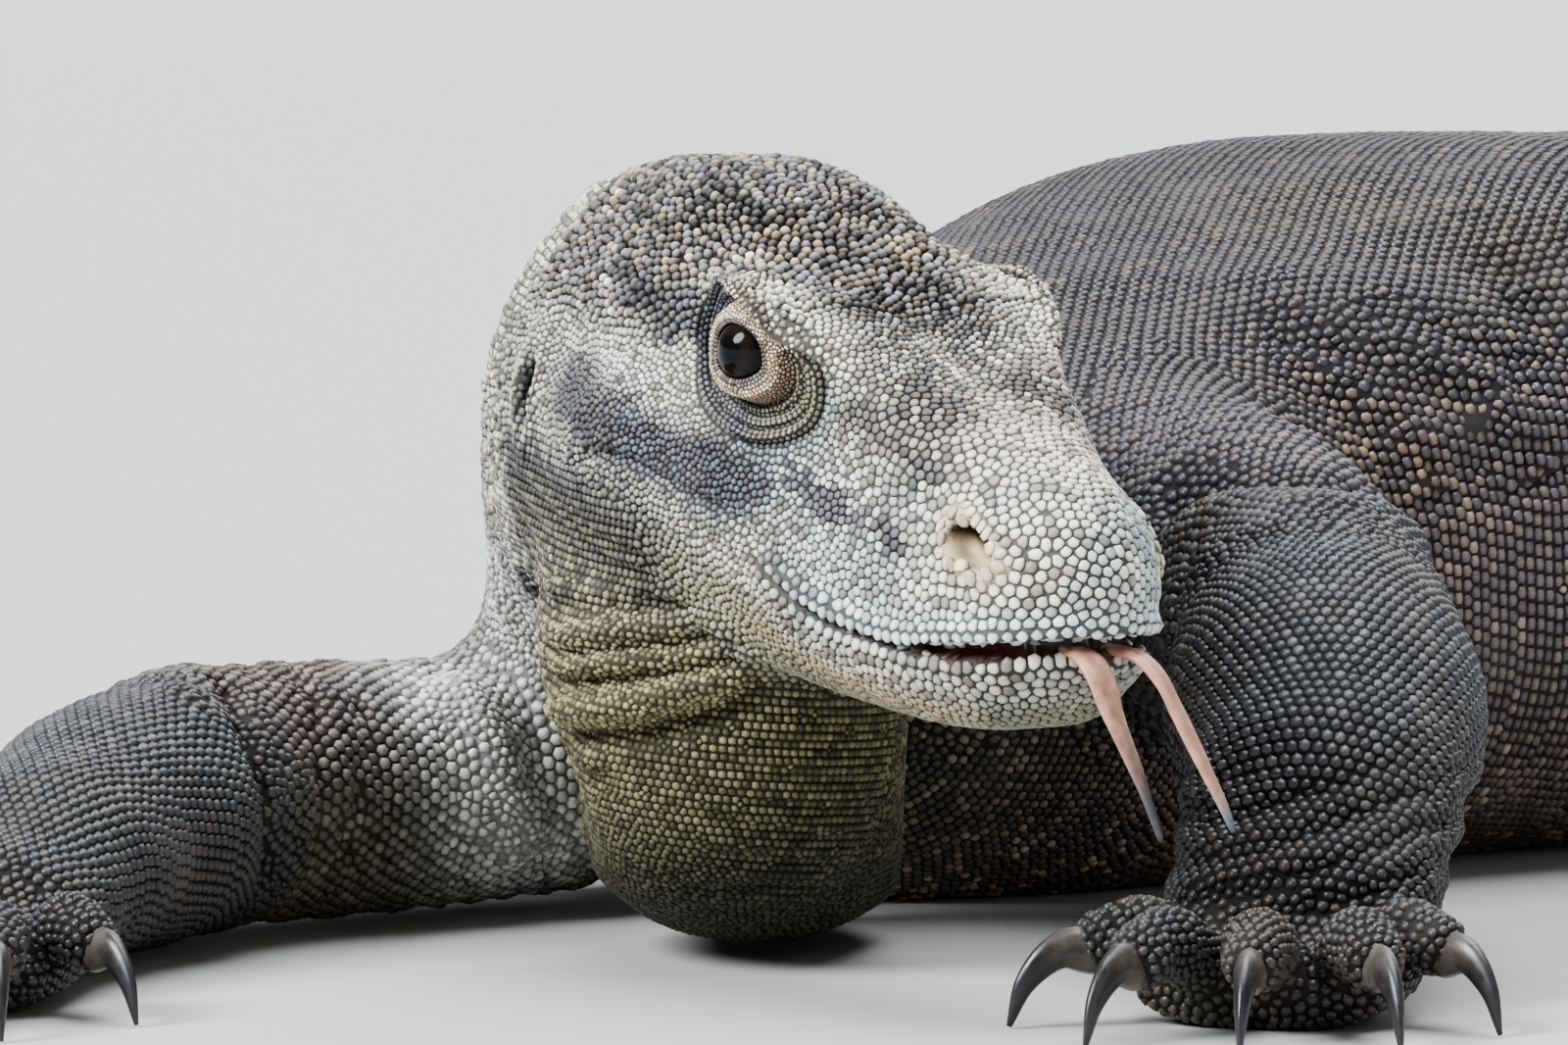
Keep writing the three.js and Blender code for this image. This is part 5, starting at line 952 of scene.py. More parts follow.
    # speckled top: dark, brown, tan and cream beads mixed, paler over the brows
    topz = smooth(40, 55, zz + 0.12 * (60 - x)) * smooth(132, 96, x + 0.3 * ay)
    brow_ = np.clip(g([92, 36, 60], [26, 9, 9]) * 1.2 + g([112, 30, 50], [10, 8, 10]), 0, 1)
    beads = mixc(C_(164, 161, 166) * one, C_(29, 27, 33) * one, smooth(0.10, 0.42, dk)); beads = mixc(beads, BROWN * 1.05, smooth(0.44, 0.52, R) * smooth(0.66, 0.6, R)); beads = mixc(beads, TAN * 0.9, smooth(0.68, 0.76, R)); beads = mixc(beads, CREAM * 1.0, smooth(0.76, 0.83, R + 0.2 * b10))
    hd = mixc(hd, beads, np.clip(topz * (1 - 0.92 * brow_) * (0.94 + 0.0 * x), 0, 1))
    fore_d = np.clip(g([112, 3, 56], [30, 19, 14]) * 1.3 + g([124, 18, 46], [24, 12, 12]) * 1.2 + g([132, 14, 40], [16, 9, 10]) * 0.8, 0, 1) * smooth(0.44, 0.54, dk + 0.12)
    hd = mixc(hd, mixc(DARK * 1.2, BROWN * one, smooth(0.7, 0.9, R)), fore_d * 0.85)
    # the dark slate area behind and below the eye, and its broken patches before it
    d, t, u_ = along(LM, [(20, 53, 25), (34, 52, 22), (50, 50, 20), (66, 47, 18.5), (84, 44, 17.5), (98, 39, 20.5)], 30); w = 12.5 - 5.0 * t
    band = smooth(w + 4, w - 4, d + 5.0 * blot + 3.0 * (R - 0.5)); bandm = band
    slate = mixc(C_(112, 116, 134) * one, C_(58, 57, 70) * one, smooth(0.36, 0.62, R + 0.3 * b10)); slate = slate * (1 - 0.62 * smooth(62, 42, x))[:, None]; slate = mixc(slate, C_(150, 152, 164) * one, smooth(0.88, 0.95, R))
    hd = mixc(hd, slate, band * 0.92)
    d, t, u_ = along(LM, [(40, 44, 50), (52, 41, 48), (62, 38.5, 50)], 20); hd = mixc(hd, slate, smooth(8, 3, d + 4 * b10 + 4 * (R - 0.5)) * 0.75)
    d, t, u_ = along(LM, [(112, 36, 21), (124, 33.5, 18), (138, 31, 17), (152, 29, 14)], 20)
    hd = mixc(hd, mixc(C_(112, 106, 114) * one, DARK * 1.5, smooth(0.3, 0.7, R)), smooth(3.9, 2.1, d + 5 * b10 + 6 * (R - 0.5)) * 0.9)
    d, t, u_ = along(LM, [(120, 30, 40), (136, 26, 36), (150, 23, 33)], 20); hd = mixc(hd, DARK * 2.0, smooth(4.5, 1.0, d + 6 * b10 + 6 * (R - 0.6)) * 0.7)
    hd = mixc(hd, C_(236, 240, 240) * one, np.clip(g([107, 37, 27], [12, 10, 8]), 0, 1) * 0.55 * smooth(0.1, 0.3, R)); specks = smooth(0.76, 0.83, R + 0.35 * b10) * smooth(192, 130, x); hd = mixc(hd, C_(74, 64, 60) * one, specks * 0.75)
    temple = smooth(80, 56, x) * smooth(30, 14, zz + 0.3 * (x - 40)); tm = mixc(C_(216, 210, 198) * one, C_(96, 91, 97) * one, smooth(0.46, 0.64, R + 0.35 * blot + 0.15 * b10))
    hd = mixc(hd, tm, temple * 0.7 * (1 - 0.85 * bandm)); hd = hd * (1 - 0.62 * smooth(66, 44, x) * smooth(12, 0, zz) * smooth(-34, -18, zz))[:, None]
    hd = mixc(hd, C_(238, 236, 230) * one, g([48, 48, 36], [20, 14, 8]) * 0.75 * smooth(0.15, 0.4, R + 0.2 * b10)); hd = mixc(hd, CREAM * 1.12, brow_ * 0.75 * smooth(0.16, 0.36, R))
    hd = hd * (1 - 0.34 * smooth(0, -4, zz - H["lipZ"](x)) * smooth(96, 108, x))[:, None]; jaw = smooth(H["lipZ"](x) - 9, H["lipZ"](x) - 17, zz); hd = mixc(hd, mixc(C_(158, 154, 128) * one, OLIVE * 0.9, smooth(0.2, 0.8, 0.6 * R + 0.4 + 0.5 * mid - 0.3)), jaw * 0.75)
    # the angle of the jaw made darker, most in the grooves of its sculpted wrinkles (wr_ repeats their phase): painted
    # shade in the grooves
    wr_ = np.sin((zz * 0.86 + x * 0.20 + 4.5 * N2(P, 22)) / 5.6 * 2 * np.pi); an_ = smooth(70, 50, x) * smooth(8, -4, zz) * smooth(-46, -30, zz)
    hd = hd * (1 - an_ * (0.24 + 0.40 * smooth(0.2, -0.6, wr_ + 0.6 * (R - 0.5))))[:, None]; hd = mixc(hd, C_(84, 74, 84) * one, an_ * smooth(0.56, 0.66, R + 0.3 * blot) * 0.7)
    mg = bump(zz - H["jawZ"](x) + 4, 3.2) * smooth(176, 160, x) * smooth(80, 96, x); hd = mixc(hd, C_(196, 170, 132) * one, mg * 0.6)
    tl_, ph = lid_t(P); sp_ = np.sin(ph); cp_ = np.cos(ph); low_ = 1 - brow_share(ph); front_ = smooth(-0.1, 0.7, cp_); q_ = tl_ / groove_t(ph)
    folds = smooth(0.98, 1.06, q_) * smooth(19.5, 16.5, tl_) * low_
    hd = mixc(hd, mixc(SLATE * 1.0, DARK * 1.6, smooth(0.3, 0.85, R + 0.4 * b10)), folds * (1 - 0.55 * front_) * 0.95)
    hd = mixc(hd, mixc(C_(176, 162, 128) * one, C_(150, 150, 132) * one, smooth(0.2, 0.8, R)), folds * front_ * smooth(18, 14.5, tl_) * 0.85)
    hd = mixc(hd, TEAL * 1.04, smooth(15.5, 18, tl_) * smooth(24, 18, tl_) * low_ * front_ * smooth(0.2, -0.2, sp_) * 0.5)
    ring = smooth(1.02, 0.90, q_ + 0.26 * low_); hd = mixc(hd, mixc(SLATE * 0.85, C_(176, 148, 116) * one, front_ * 0.8), smooth(1.04, 0.98, q_) * low_); band = mixc(ORANGE * 1.28, CREAM * 1.25, smooth(0.2, 0.8, R + 0.5 * N4(P, 6)))
    band = mixc(band, C_(120, 84, 62) * one, smooth(0.15, 0.45, N3(P + 40, 3.6)) * (0.15 + 0.40 * front_) + bump(q_ - 0.44, 0.12) * low_ * smooth(0.2, -0.6, sp_) * 0.5)
    band = mixc(band, C_(98, 90, 90) * one, smooth(0.40, 0.22, q_ + 0.10 * N4(P, 7)) * 0.9)
    hd = mixc(hd, band, ring)
    # painted shade: dark where the lid turns in to the eye, dark brown in the groove between the lid and the folds
    # (more under the brow), and below the eye dark in the three grooves between the folds
    hd = mixc(hd, DARK * 0.7, smooth(0.6, 0.25, tl_)); hd = mixc(hd, C_(64, 44, 34) * one, bump(q_ - 1.03, 0.13) * (0.55 + 0.4 * (1 - low_)))
    hd = mixc(hd, DARK * 0.9, (bump(tl_ - 9.3, 0.8) * 0.5 + bump(tl_ - 12.4, 0.8) * 0.6 + bump(tl_ - 16.4, 1.1) * 0.8) * low_)
    hd = mixc(hd, mixc(C_(206, 178, 158) * one, CREAM * 1.0, smooth(0.3, 0.8, R)), smooth(1.1, 1.25, q_) * smooth(21, 18, tl_) * (1 - low_) * 0.85)
    # the nostril: a cream rim, and inside it a painted shadow, dark brown, over its upper half, cream below
    e = nostril(x, ay, zz); hd = mixc(hd, C_(232, 214, 178) * one, smooth(2.0, 1.3, e) * 0.8); hd = mixc(hd, mixc(C_(46, 26, 14) * one, C_(214, 194, 158) * one, smooth(-0.4, -3.4, zz - NOSTRIL[2] + 0.40 * (x - NOSTRIL[0]))), smooth(1.08, 0.92, e))
    # painted shade: dark in the ear's slit
    e = np.hypot((x - EAR[0]) / 4, (zz - EAR[2]) / 10); hd = mixc(hd, DARK * 0.6, smooth(1.0, 0.5, e) * (ay > 20))
    lz = H["lipZ"](x) - 0.4; half = mouth_half(x)
    # the mouth's gap: its red flesh painted dark, as the shade inside the gap
    hd = mixc(hd, C_(74, 36, 34) * one, smooth(half + 0.5, half - 0.1, np.abs(zz - lz)) * smooth(98, 104, x))
    col = mixc(col, hd, z["is_head"])
    amp = 0.22 + 0.08 * z["is_head"]
    return np.clip(col * (1 - amp + 2 * amp * R)[:, None] * (1 + 0.10 * fine_)[:, None], 0.004, 0.92)

# ---- scales: their shapes -----------------------------------------------------------------------
RS = RNG.rand(len(ALL))
COL = paint(Z, RS)
def frames(V, N, L):
    """Unit directions round (u) and along (w) each scale."""
    d = np.where((np.abs(V).sum(1) > 0.1)[:, None], V, head_dir([[0.0, 0.05, 1.0]]) + 0 * N)
    u = unit(d - N * (d * N).sum(1, keepdims=True)); return u, np.cross(N, u)
U, Wd = frames(VD, NS, None)

def build(ix, M, turn, levels, name, mat, rise, gap, sink):
    """One joined mesh of the scales ix; levels are (share of the outline, share of the height, colour factor) from the
    root up; the colour factor paints shade, darkest at the root, and the top point is painted 8 percent lighter as a
    highlight.
    """
    if not len(ix): return
    p, n, u, w, s = ALL[ix], NS[ix], U[ix], Wd[ix], s_all[ix]
    J = NB[ix]; d = ALL[J] - p[:, None]; du, dw = (d * u[:, None]).sum(2), (d * w[:, None]).sum(2); dist = np.maximum(np.hypot(du, dw), 0.05); ang = np.arctan2(dw, du)
    share = s[:, None] / (s[:, None] + s_all[J])
    th = turn + 2 * np.pi * np.arange(M) / M
    cosv = np.cos(th[None, None, :] - ang[..., None])
    r = np.where(cosv > 0.12, (share * dist)[..., None] / np.maximum(cosv, 0.12), 99).min(1)
    r = np.minimum(r, s[:, None] * 0.84)
    sm = 0.5 * r + 0.25 * (np.roll(r, 1, 1) + np.roll(r, -1, 1)); r = np.minimum(r, sm * 1.04)
    r = np.maximum(r - gap * s[:, None] * 0.5, 0.22 * s[:, None])
    rim = u[:, None] * (np.cos(th)[None, :, None] * r[..., None]) + w[:, None] * (np.sin(th)[None, :, None] * r[..., None])
    hgt = rise * s * (0.80 + 0.4 * RNG.rand(len(ix)))
    tilt = RNG.normal(0, 0.05, (len(ix), 2)); n2 = unit(n + u * tilt[:, :1] + w * tilt[:, 1:])
    verts, cols = [], []
    # each ring's colour is the scale's colour times its colour factor: painted shade in the gaps between the scales
    for q, hh, dark in levels:
        verts.append(p[:, None] + rim * q + (n2 * (hgt * hh)[:, None] - n * (sink if hh == 0 else 0))[:, None]); cols.append(np.repeat((COL[ix] * dark)[:, None], M, 1))
    K = len(levels); V_ = np.stack(verts, 1).reshape(len(ix), K * M, 3); Cc = np.stack(cols, 1).reshape(len(ix), K * M, 3)
    # the top point is painted 8 percent lighter: a painted highlight
    top = (p + n2 * (hgt * 1.0)[:, None])[:, None]; V_ = np.concatenate([V_, top], 1); Cc = np.concatenate([Cc, (COL[ix] * 1.08)[:, None]], 1)
    nv = K * M + 1; j = np.arange(M); k = (j + 1) % M
    F = [np.stack([a * M + j, a * M + k, (a + 1) * M + k, (a + 1) * M + j], 1) for a in range(K - 1)]; F = np.concatenate(F) if F else np.zeros((0, 4), int)
    T = np.stack([(K - 1) * M + j, (K - 1) * M + k, np.full(M, K * M)], 1)
    per = len(F) * 2 + len(T); chunk = 190000 // per
    for c, a in enumerate(range(0, len(ix), chunk)):
        b = min(a + chunk, len(ix)); m_ = b - a
        quads = (F[None] + (np.arange(m_) * nv)[:, None, None]).reshape(-1, 4); tris = (T[None] + (np.arange(m_) * nv)[:, None, None]).reshape(-1, 3)
        me = bpy.data.meshes.new(f"{name}_{c + 1}"); verts_ = to_m(V_[a:b].reshape(-1, 3))
        me.vertices.add(len(verts_)); me.vertices.foreach_set("co", np.ascontiguousarray(verts_, np.float32).ravel())
        me.loops.add(quads.size + tris.size); me.loops.foreach_set("vertex_index", np.concatenate([quads.ravel(), tris.ravel()]).astype(np.int32))
        me.polygons.add(len(quads) + len(tris)); st_ = np.concatenate([np.arange(len(quads)) * 4, len(quads) * 4 + np.arange(len(tris)) * 3]).astype(np.int32)
        me.polygons.foreach_set("loop_start", st_); me.polygons.foreach_set("use_smooth", np.ones(len(st_), bool)); me.update(calc_edges=True)
        at = me.attributes.new("Col", "FLOAT_COLOR", "POINT"); rgba = np.ones((len(verts_), 4), np.float32); rgba[:, :3] = Cc[a:b].reshape(-1, 3); at.data.foreach_set("color", rgba.ravel())
        uv = me.uv_layers.new(name="OFBake"); root = UV[ix[a:b]]; off = np.concatenate([np.stack([np.cos(th), np.sin(th)], 1) * (0.0015 * lv[0]) for lv in levels] + [np.zeros((1, 2))])
        puv = (root[:, None] + off[None]).reshape(-1, 2); vi = np.concatenate([quads.ravel(), tris.ravel()]); uv.data.foreach_set("uv", np.ascontiguousarray(puv[vi], np.float32).ravel())
        me.materials.append(mat); o = link(bpy.data.objects.new(f"{name}_{c + 1}", me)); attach(o, "root"); COAT.append((o.name, len(quads) * 2 + len(tris)))
def link(o): bpy.context.collection.objects.link(o); return o
COAT = []

# unwrap: each part of the flesh has its own rectangle, along by round
ATLAS = {"head": (0.01, 0.70, 0.24, 0.29), "throat": (0.26, 0.70, 0.14, 0.29), "body": (0.01, 0.01, 0.97, 0.30)}
for i, leg in enumerate(LEGS):
    x0 = 0.42 + 0.145 * i; ATLAS[leg + "_upper"] = (x0, 0.70, 0.13, 0.14); ATLAS[leg + "_lower"] = (x0, 0.85, 0.13, 0.14); ATLAS[leg + "_palm"] = (0.01 + 0.245 * i, 0.33, 0.10, 0.16)
    for k in range(5): ATLAS[f"{leg}_toe{k + 1}"] = (0.12 + 0.245 * i + 0.026 * k, 0.33, 0.022, 0.16)
def unwrap(Q):
    pts, uvs = [], []
    for name, (x0, y0, w_, h_) in ATLAS.items():
        R_ = PARTS[name]; a, b = R_.shape[:2]
        pts.append(R_.reshape(-1, 3)); uu, vv = np.meshgrid(np.arange(a) / max(1, a - 1), np.arange(b) / b, indexing="ij"); uvs.append(np.stack([x0 + uu * w_, y0 + vv * h_], -1).reshape(-1, 2))
    pts, uvs = np.vstack(pts), np.vstack(uvs); kd = KDTree(len(pts))
    for i, p in enumerate(pts): kd.insert(p, i)
    kd.balance(); return np.array([uvs[kd.find(q)[1]] for q in Q])
UV = unwrap(ALL)
s_all = s
tick("unwrapped")

def hide(name, rough, spec, coat, bump_size, bump_amt, tint=(1, 1, 1)):
    """A scaly hide: the colour is on the mesh; the nodes add fine mottling, dust, sheen variation and grain."""
    m = bpy.data.materials.new(name); m.use_nodes = True; nt = m.node_tree; b = nt.nodes["Principled BSDF"]; N_ = nt.nodes.new; Lk = nt.links.new
    at = N_("ShaderNodeAttribute"); at.attribute_name = "Col"
    tc = N_("ShaderNodeTexCoord"); n1 = N_("ShaderNodeTexNoise"); n1.inputs["Scale"].default_value = 420; n1.inputs["Detail"].default_value = 3
    n2 = N_("ShaderNodeTexNoise"); n2.inputs["Scale"].default_value = 38; n2.inputs["Detail"].default_value = 4
    Lk(tc.outputs["Object"], n1.inputs["Vector"]); Lk(tc.outputs["Object"], n2.inputs["Vector"])
    r1 = N_("ShaderNodeMapRange"); r1.inputs["From Min"].default_value = 0.3; r1.inputs["From Max"].default_value = 0.7; r1.inputs["To Min"].default_value = 0.80; r1.inputs["To Max"].default_value = 1.16
    Lk(n1.outputs["Fac"], r1.inputs["Value"])
    mul = N_("ShaderNodeVectorMath"); mul.operation = "SCALE"; Lk(at.outputs["Color"], mul.inputs[0]); Lk(r1.outputs["Result"], mul.inputs["Scale"])
    dust = N_("ShaderNodeMix"); dust.data_type = "RGBA"; dust.inputs["B"].default_value = (0.30, 0.27, 0.235, 1)
    r2 = N_("ShaderNodeMapRange"); r2.inputs["From Min"].default_value = 0.52; r2.inputs["From Max"].default_value = 0.78; r2.inputs["To Min"].default_value = 0; r2.inputs["To Max"].default_value = 0.16
    Lk(n2.outputs["Fac"], r2.inputs["Value"]); Lk(r2.outputs["Result"], dust.inputs["Factor"]); Lk(mul.outputs["Vector"], dust.inputs["A"]); Lk(dust.outputs["Result"], b.inputs["Base Color"])
    r3 = N_("ShaderNodeMapRange"); r3.inputs["From Min"].default_value = 0.3; r3.inputs["From Max"].default_value = 0.7; r3.inputs["To Min"].default_value = rough[0]; r3.inputs["To Max"].default_value = rough[1]
    Lk(n2.outputs["Fac"], r3.inputs["Value"]); Lk(r3.outputs["Result"], b.inputs["Roughness"])
    bp = N_("ShaderNodeBump"); bp.inputs["Strength"].default_value = bump_amt; bp.inputs["Distance"].default_value = bump_size
    n3 = N_("ShaderNodeTexNoise"); n3.inputs["Scale"].default_value = 900; n3.inputs["Detail"].default_value = 2; Lk(tc.outputs["Object"], n3.inputs["Vector"]); Lk(n3.outputs["Fac"], bp.inputs["Height"]); Lk(bp.outputs["Normal"], b.inputs["Normal"])
    b.inputs["Specular IOR Level"].default_value = spec; b.inputs["Coat Weight"].default_value = coat; b.inputs["Coat Roughness"].default_value = 0.28
    return m
M_HEAD = hide("head_hide", (0.42, 0.62), 0.42, 0.0, 0.0003, 0.5)
M_THROAT = hide("throat_hide", (0.45, 0.66), 0.35, 0.0, 0.0003, 0.5)
M_BODY = hide("body_hide", (0.34, 0.52), 0.48, 0.10, 0.0003, 0.5)

M_SKIN = hide("skin_between", (0.62, 0.80), 0.18, 0.0, 0.0003, 0.5)

hdm = Z["is_head"] > 0.5; thm = ~hdm & ((Z["is_throat"] > 0.4) | ((Z["s"] < 110) & (Z["is_fore"] < 0.5)))
frm = ~hdm & ~thm & (Z["is_fore"] > 0.5) | (~hdm & ~thm & (Z["foot"] < 2)); rest = ~(hdm | thm | frm)
tlq, _ = lid_t(ALL); lidm = hdm & (tlq < 18.0); crownm = hdm & ~lidm & (Z["L"][:, 0] < 100) & (Z["L"][:, 2] + 0.12 * (60 - Z["L"][:, 0]) > 46)
snm = hdm & ~lidm & ~crownm & (Z["L"][:, 0] > 118); hdo = hdm & ~lidm & ~crownm & ~snm
I = lambda m: np.nonzero(m)[0]
# the third number of each level, here and in the builds below, darkens the scale towards its root: painted shade in the
# gaps between the scales
DOME = [(1.0, 0.0, 0.30), (0.90, 0.55, 0.80), (0.58, 0.92, 1.0)]
LOW = [(1.0, 0.0, 0.30), (0.72, 0.80, 0.95)]
near = rest & (Z["P"][:, 0] < 330) & (Z["s"] < S_TRUNK + 330) | (rest & (Z["s"] < S_TRUNK)); far_ = rest & ~near
CONE = [(1.0, 0.0, 0.30)]
PENT = [(1.0, 0.0, 0.16), (0.80, 0.76, 0.90)]
HEX = [(1.0, 0.0, 0.16), (0.82, 0.74, 0.90)]
build(I(crownm), 7, 0.2, [(1.0, 0.0, 0.06), (0.98, 0.42, 0.45), (0.62, 0.90, 1.0)], "scales_crown", M_HEAD, 0.56, 0.12, 0.4)
build(I(snm), 9, 0.2, [(1.0, 0.0, 0.05), (0.92, 0.66, 0.82), (0.62, 0.95, 1.0)], "scales_snout", M_HEAD, 0.20, 0.09, 0.35)
build(I(hdo), 7, 0.2, [(1.0, 0.0, 0.04), (0.78, 0.82, 0.97)], "scales_head", M_HEAD, 0.27, 0.11, 0.35)
build(I(lidm), 6, 0.2, [(1.0, 0.0, 0.55), (0.70, 0.86, 1.0)], "scales_lids", M_HEAD, 0.13, 0.03, 0.12)
build(I(thm), 6, math.radians(30), HEX, "scales_throat", M_THROAT, 0.27, 0.09, 0.4)
build(I(frm), 6, math.radians(30), HEX, "scales_fore", M_BODY, 0.27, 0.075, 0.5)
build(I(near), 6, math.radians(30), HEX, "scales_trunk", M_BODY, 0.24, 0.08, 0.5)
under = NS[:, 2] < -0.25                                                              # the underside, which rests on the floor
build(I(far_ & ~under), 5, math.radians(18), PENT, "scales_rear", M_BODY, 0.24, 0.08, 0.5)
build(I(far_ & under), 6, math.radians(30), CONE, "scales_under", M_BODY, 0.24, 0.09, 0.5)
tick(f"coat: {COAT} total {sum(c[1] for c in COAT)}")

# the skin itself
zs = zones(P); base = paint(zs, np.full(len(P), 0.5)); pit_ = np.maximum.reduce([smooth(1.75, 1.5, nostril(zs["L"][:, 0], np.abs(zs["L"][:, 1]), zs["L"][:, 2])), ((np.abs(zs["L"][:, 2] - H["lipZ"](zs["L"][:, 0]) + 0.4) < mouth_half(zs["L"][:, 0]) + 0.2) & (zs["L"][:, 0] > 140)) * 1.0]) * zs["is_head"]
# painted shade: the skin between the scales is painted far darker, as the shade in the gaps; less so in the nostrils
# and the front of the mouth's gap, along the pale chest band and at one bare spot of the flank
d_, t_, u_ = along(P, CHEST_BAND, 34); base = base * (0.26 - 0.12 * zs["is_head"] + 0.74 * pit_ + 0.25 * bump(d_, 14) + 0.55 * np.exp(-(((P - np.array([176.6, 253.8, 118.8])) / 5.0) ** 2).sum(1)))[:, None]
at = thin.attributes.new("Col", "FLOAT_COLOR", "POINT"); rgba = np.ones((len(P), 4), np.float32); rgba[:, :3] = base; at.data.foreach_set("color", rgba.ravel())
put(thin, to_m(P)); thin.materials.clear(); thin.materials.append(M_SKIN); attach(skin, "root")
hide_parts(*[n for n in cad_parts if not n.startswith(("claw", "eye", "tongue"))])

# ---- eyes, claws and tongue ------------------------------------------------------------------------
def solid(name, rings, cols, mat, ride=True):
    """A closed, smooth mesh from rings, coloured by ring and place round."""
    pts, tris, quads = closed(rings); R_, n = rings.shape[:2]
    me = bpy.data.meshes.new(name); me.from_pydata(to_m(pts), [], [tuple(int(v) for v in q) for q in quads] + [tuple(int(v) for v in t) for t in tris]); me.update()
    for p in me.polygons: p.use_smooth = True
    c = np.concatenate([cols.reshape(-1, 3), cols[0].mean(0, keepdims=True), cols[-1].mean(0, keepdims=True)])
    at = me.attributes.new("Col", "FLOAT_COLOR", "POINT"); rgba = np.ones((len(pts), 4), np.float32); rgba[:, :3] = c; at.data.foreach_set("color", rgba.ravel())
    me.materials.append(mat); o = link(bpy.data.objects.new(name, me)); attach(o, "root"); return o

def simple(name, rough, spec, coat, coat_rough, noise_scale, rough_var=0.08, bump_amt=0.25, stretch_=(1, 1, 1), sss=0.0):
    m = bpy.data.materials.new(name); m.use_nodes = True; nt = m.node_tree; b = nt.nodes["Principled BSDF"]; N_ = nt.nodes.new; Lk = nt.links.new
    at = N_("ShaderNodeAttribute"); at.attribute_name = "Col"; tc = N_("ShaderNodeTexCoord"); mp = N_("ShaderNodeMapping"); mp.inputs["Scale"].default_value = stretch_; Lk(tc.outputs["Object"], mp.inputs["Vector"])
    n1 = N_("ShaderNodeTexNoise"); n1.inputs["Scale"].default_value = noise_scale; n1.inputs["Detail"].default_value = 4; Lk(mp.outputs["Vector"], n1.inputs["Vector"])
    r1 = N_("ShaderNodeMapRange"); r1.inputs["From Min"].default_value = 0.3; r1.inputs["From Max"].default_value = 0.7; r1.inputs["To Min"].default_value = 0.72; r1.inputs["To Max"].default_value = 1.25; Lk(n1.outputs["Fac"], r1.inputs["Value"])
    mul = N_("ShaderNodeVectorMath"); mul.operation = "SCALE"; Lk(at.outputs["Color"], mul.inputs[0]); Lk(r1.outputs["Result"], mul.inputs["Scale"]); Lk(mul.outputs["Vector"], b.inputs["Base Color"])
    r3 = N_("ShaderNodeMapRange"); r3.inputs["From Min"].default_value = 0.3; r3.inputs["From Max"].default_value = 0.7; r3.inputs["To Min"].default_value = rough - rough_var; r3.inputs["To Max"].default_value = rough + rough_var; Lk(n1.outputs["Fac"], r3.inputs["Value"]); Lk(r3.outputs["Result"], b.inputs["Roughness"])
    bp = N_("ShaderNodeBump"); bp.inputs["Strength"].default_value = bump_amt; bp.inputs["Distance"].default_value = 0.0003; Lk(n1.outputs["Fac"], bp.inputs["Height"]); Lk(bp.outputs["Normal"], b.inputs["Normal"])
    b.inputs["Specular IOR Level"].default_value = spec; b.inputs["Coat Weight"].default_value = coat; b.inputs["Coat Roughness"].default_value = coat_rough
    if sss: b.inputs["Subsurface Weight"].default_value = sss; b.inputs["Subsurface Radius"].default_value = (0.004, 0.002, 0.0012); b.inputs["Subsurface Scale"].default_value = 1.0
    return m
M_EYE = simple("eye", 0.09, 0.20, 0.0, 0.02, 900, 0.02, 0.0)
M_CLAW = simple("claw", 0.36, 0.5, 0.15, 0.2, 260, 0.12, 0.35)
M_TONGUE = simple("tongue", 0.38, 0.5, 0.25, 0.15, 320, 0.1, 0.25, sss=0.15)

for sgn, name in ((1, "eye_left"), (-1, "eye_right")):
    C, R, f, u, a = eye_frame(sgn); th = np.linspace(0.02, math.pi - 0.02, 40); w = 2 * np.pi * np.arange(48) / 48
    bulge = 1 + 0.07 * np.exp(-(th / 0.7) ** 2)
    rings = C + (a * (np.cos(th) * R * bulge)[:, None])[:, None] + ((np.cos(w)[None, :, None] * f + np.sin(w)[None, :, None] * u) * (np.sin(th) * R * bulge)[:, None, None])
    rr = (np.sin(th) * R)[:, None] + 0 * w[None]; front_ = (th < 1.5)[:, None]
    iris = np.clip(smooth(3.4, 3.9, rr) * smooth(6.6, 5.6, rr), 0, 1) * front_ * (0.75 + 0.25 * np.sin(w * 23)[None]) 
    cols = np.array([0.004, 0.004, 0.0045]) * np.ones(rings.shape) + iris[..., None] * np.array([0.016, 0.010, 0.007])
    o = solid("eyeball_" + name[4:], rings, cols, M_EYE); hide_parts(name)

for name, nail in CLAWS.items():
    k = np.linspace(0, 1, len(nail))[:, None]; w = 2 * np.pi * np.arange(nail.shape[1]) / nail.shape[1]
    ridge = 0.5 + 0.5 * N2(nail.reshape(-1, 3) * 1.0, 2.2).reshape(nail.shape[:2])
    base_ = C_(96, 88, 80); tip_ = C_(38, 36, 38); cols = base_ * (1 - smooth(0.05, 0.6, k)[..., None]) + tip_ * smooth(0.05, 0.6, k)[..., None]
    # painted light: each claw a quarter lighter on top and a quarter darker underneath
    cols = cols * (0.7 + 0.5 * ridge[..., None]) * (1 + 0.25 * np.cos(w)[None, :, None])
    o = solid("nail_" + name[5:], nail, cols, M_CLAW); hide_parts(name)

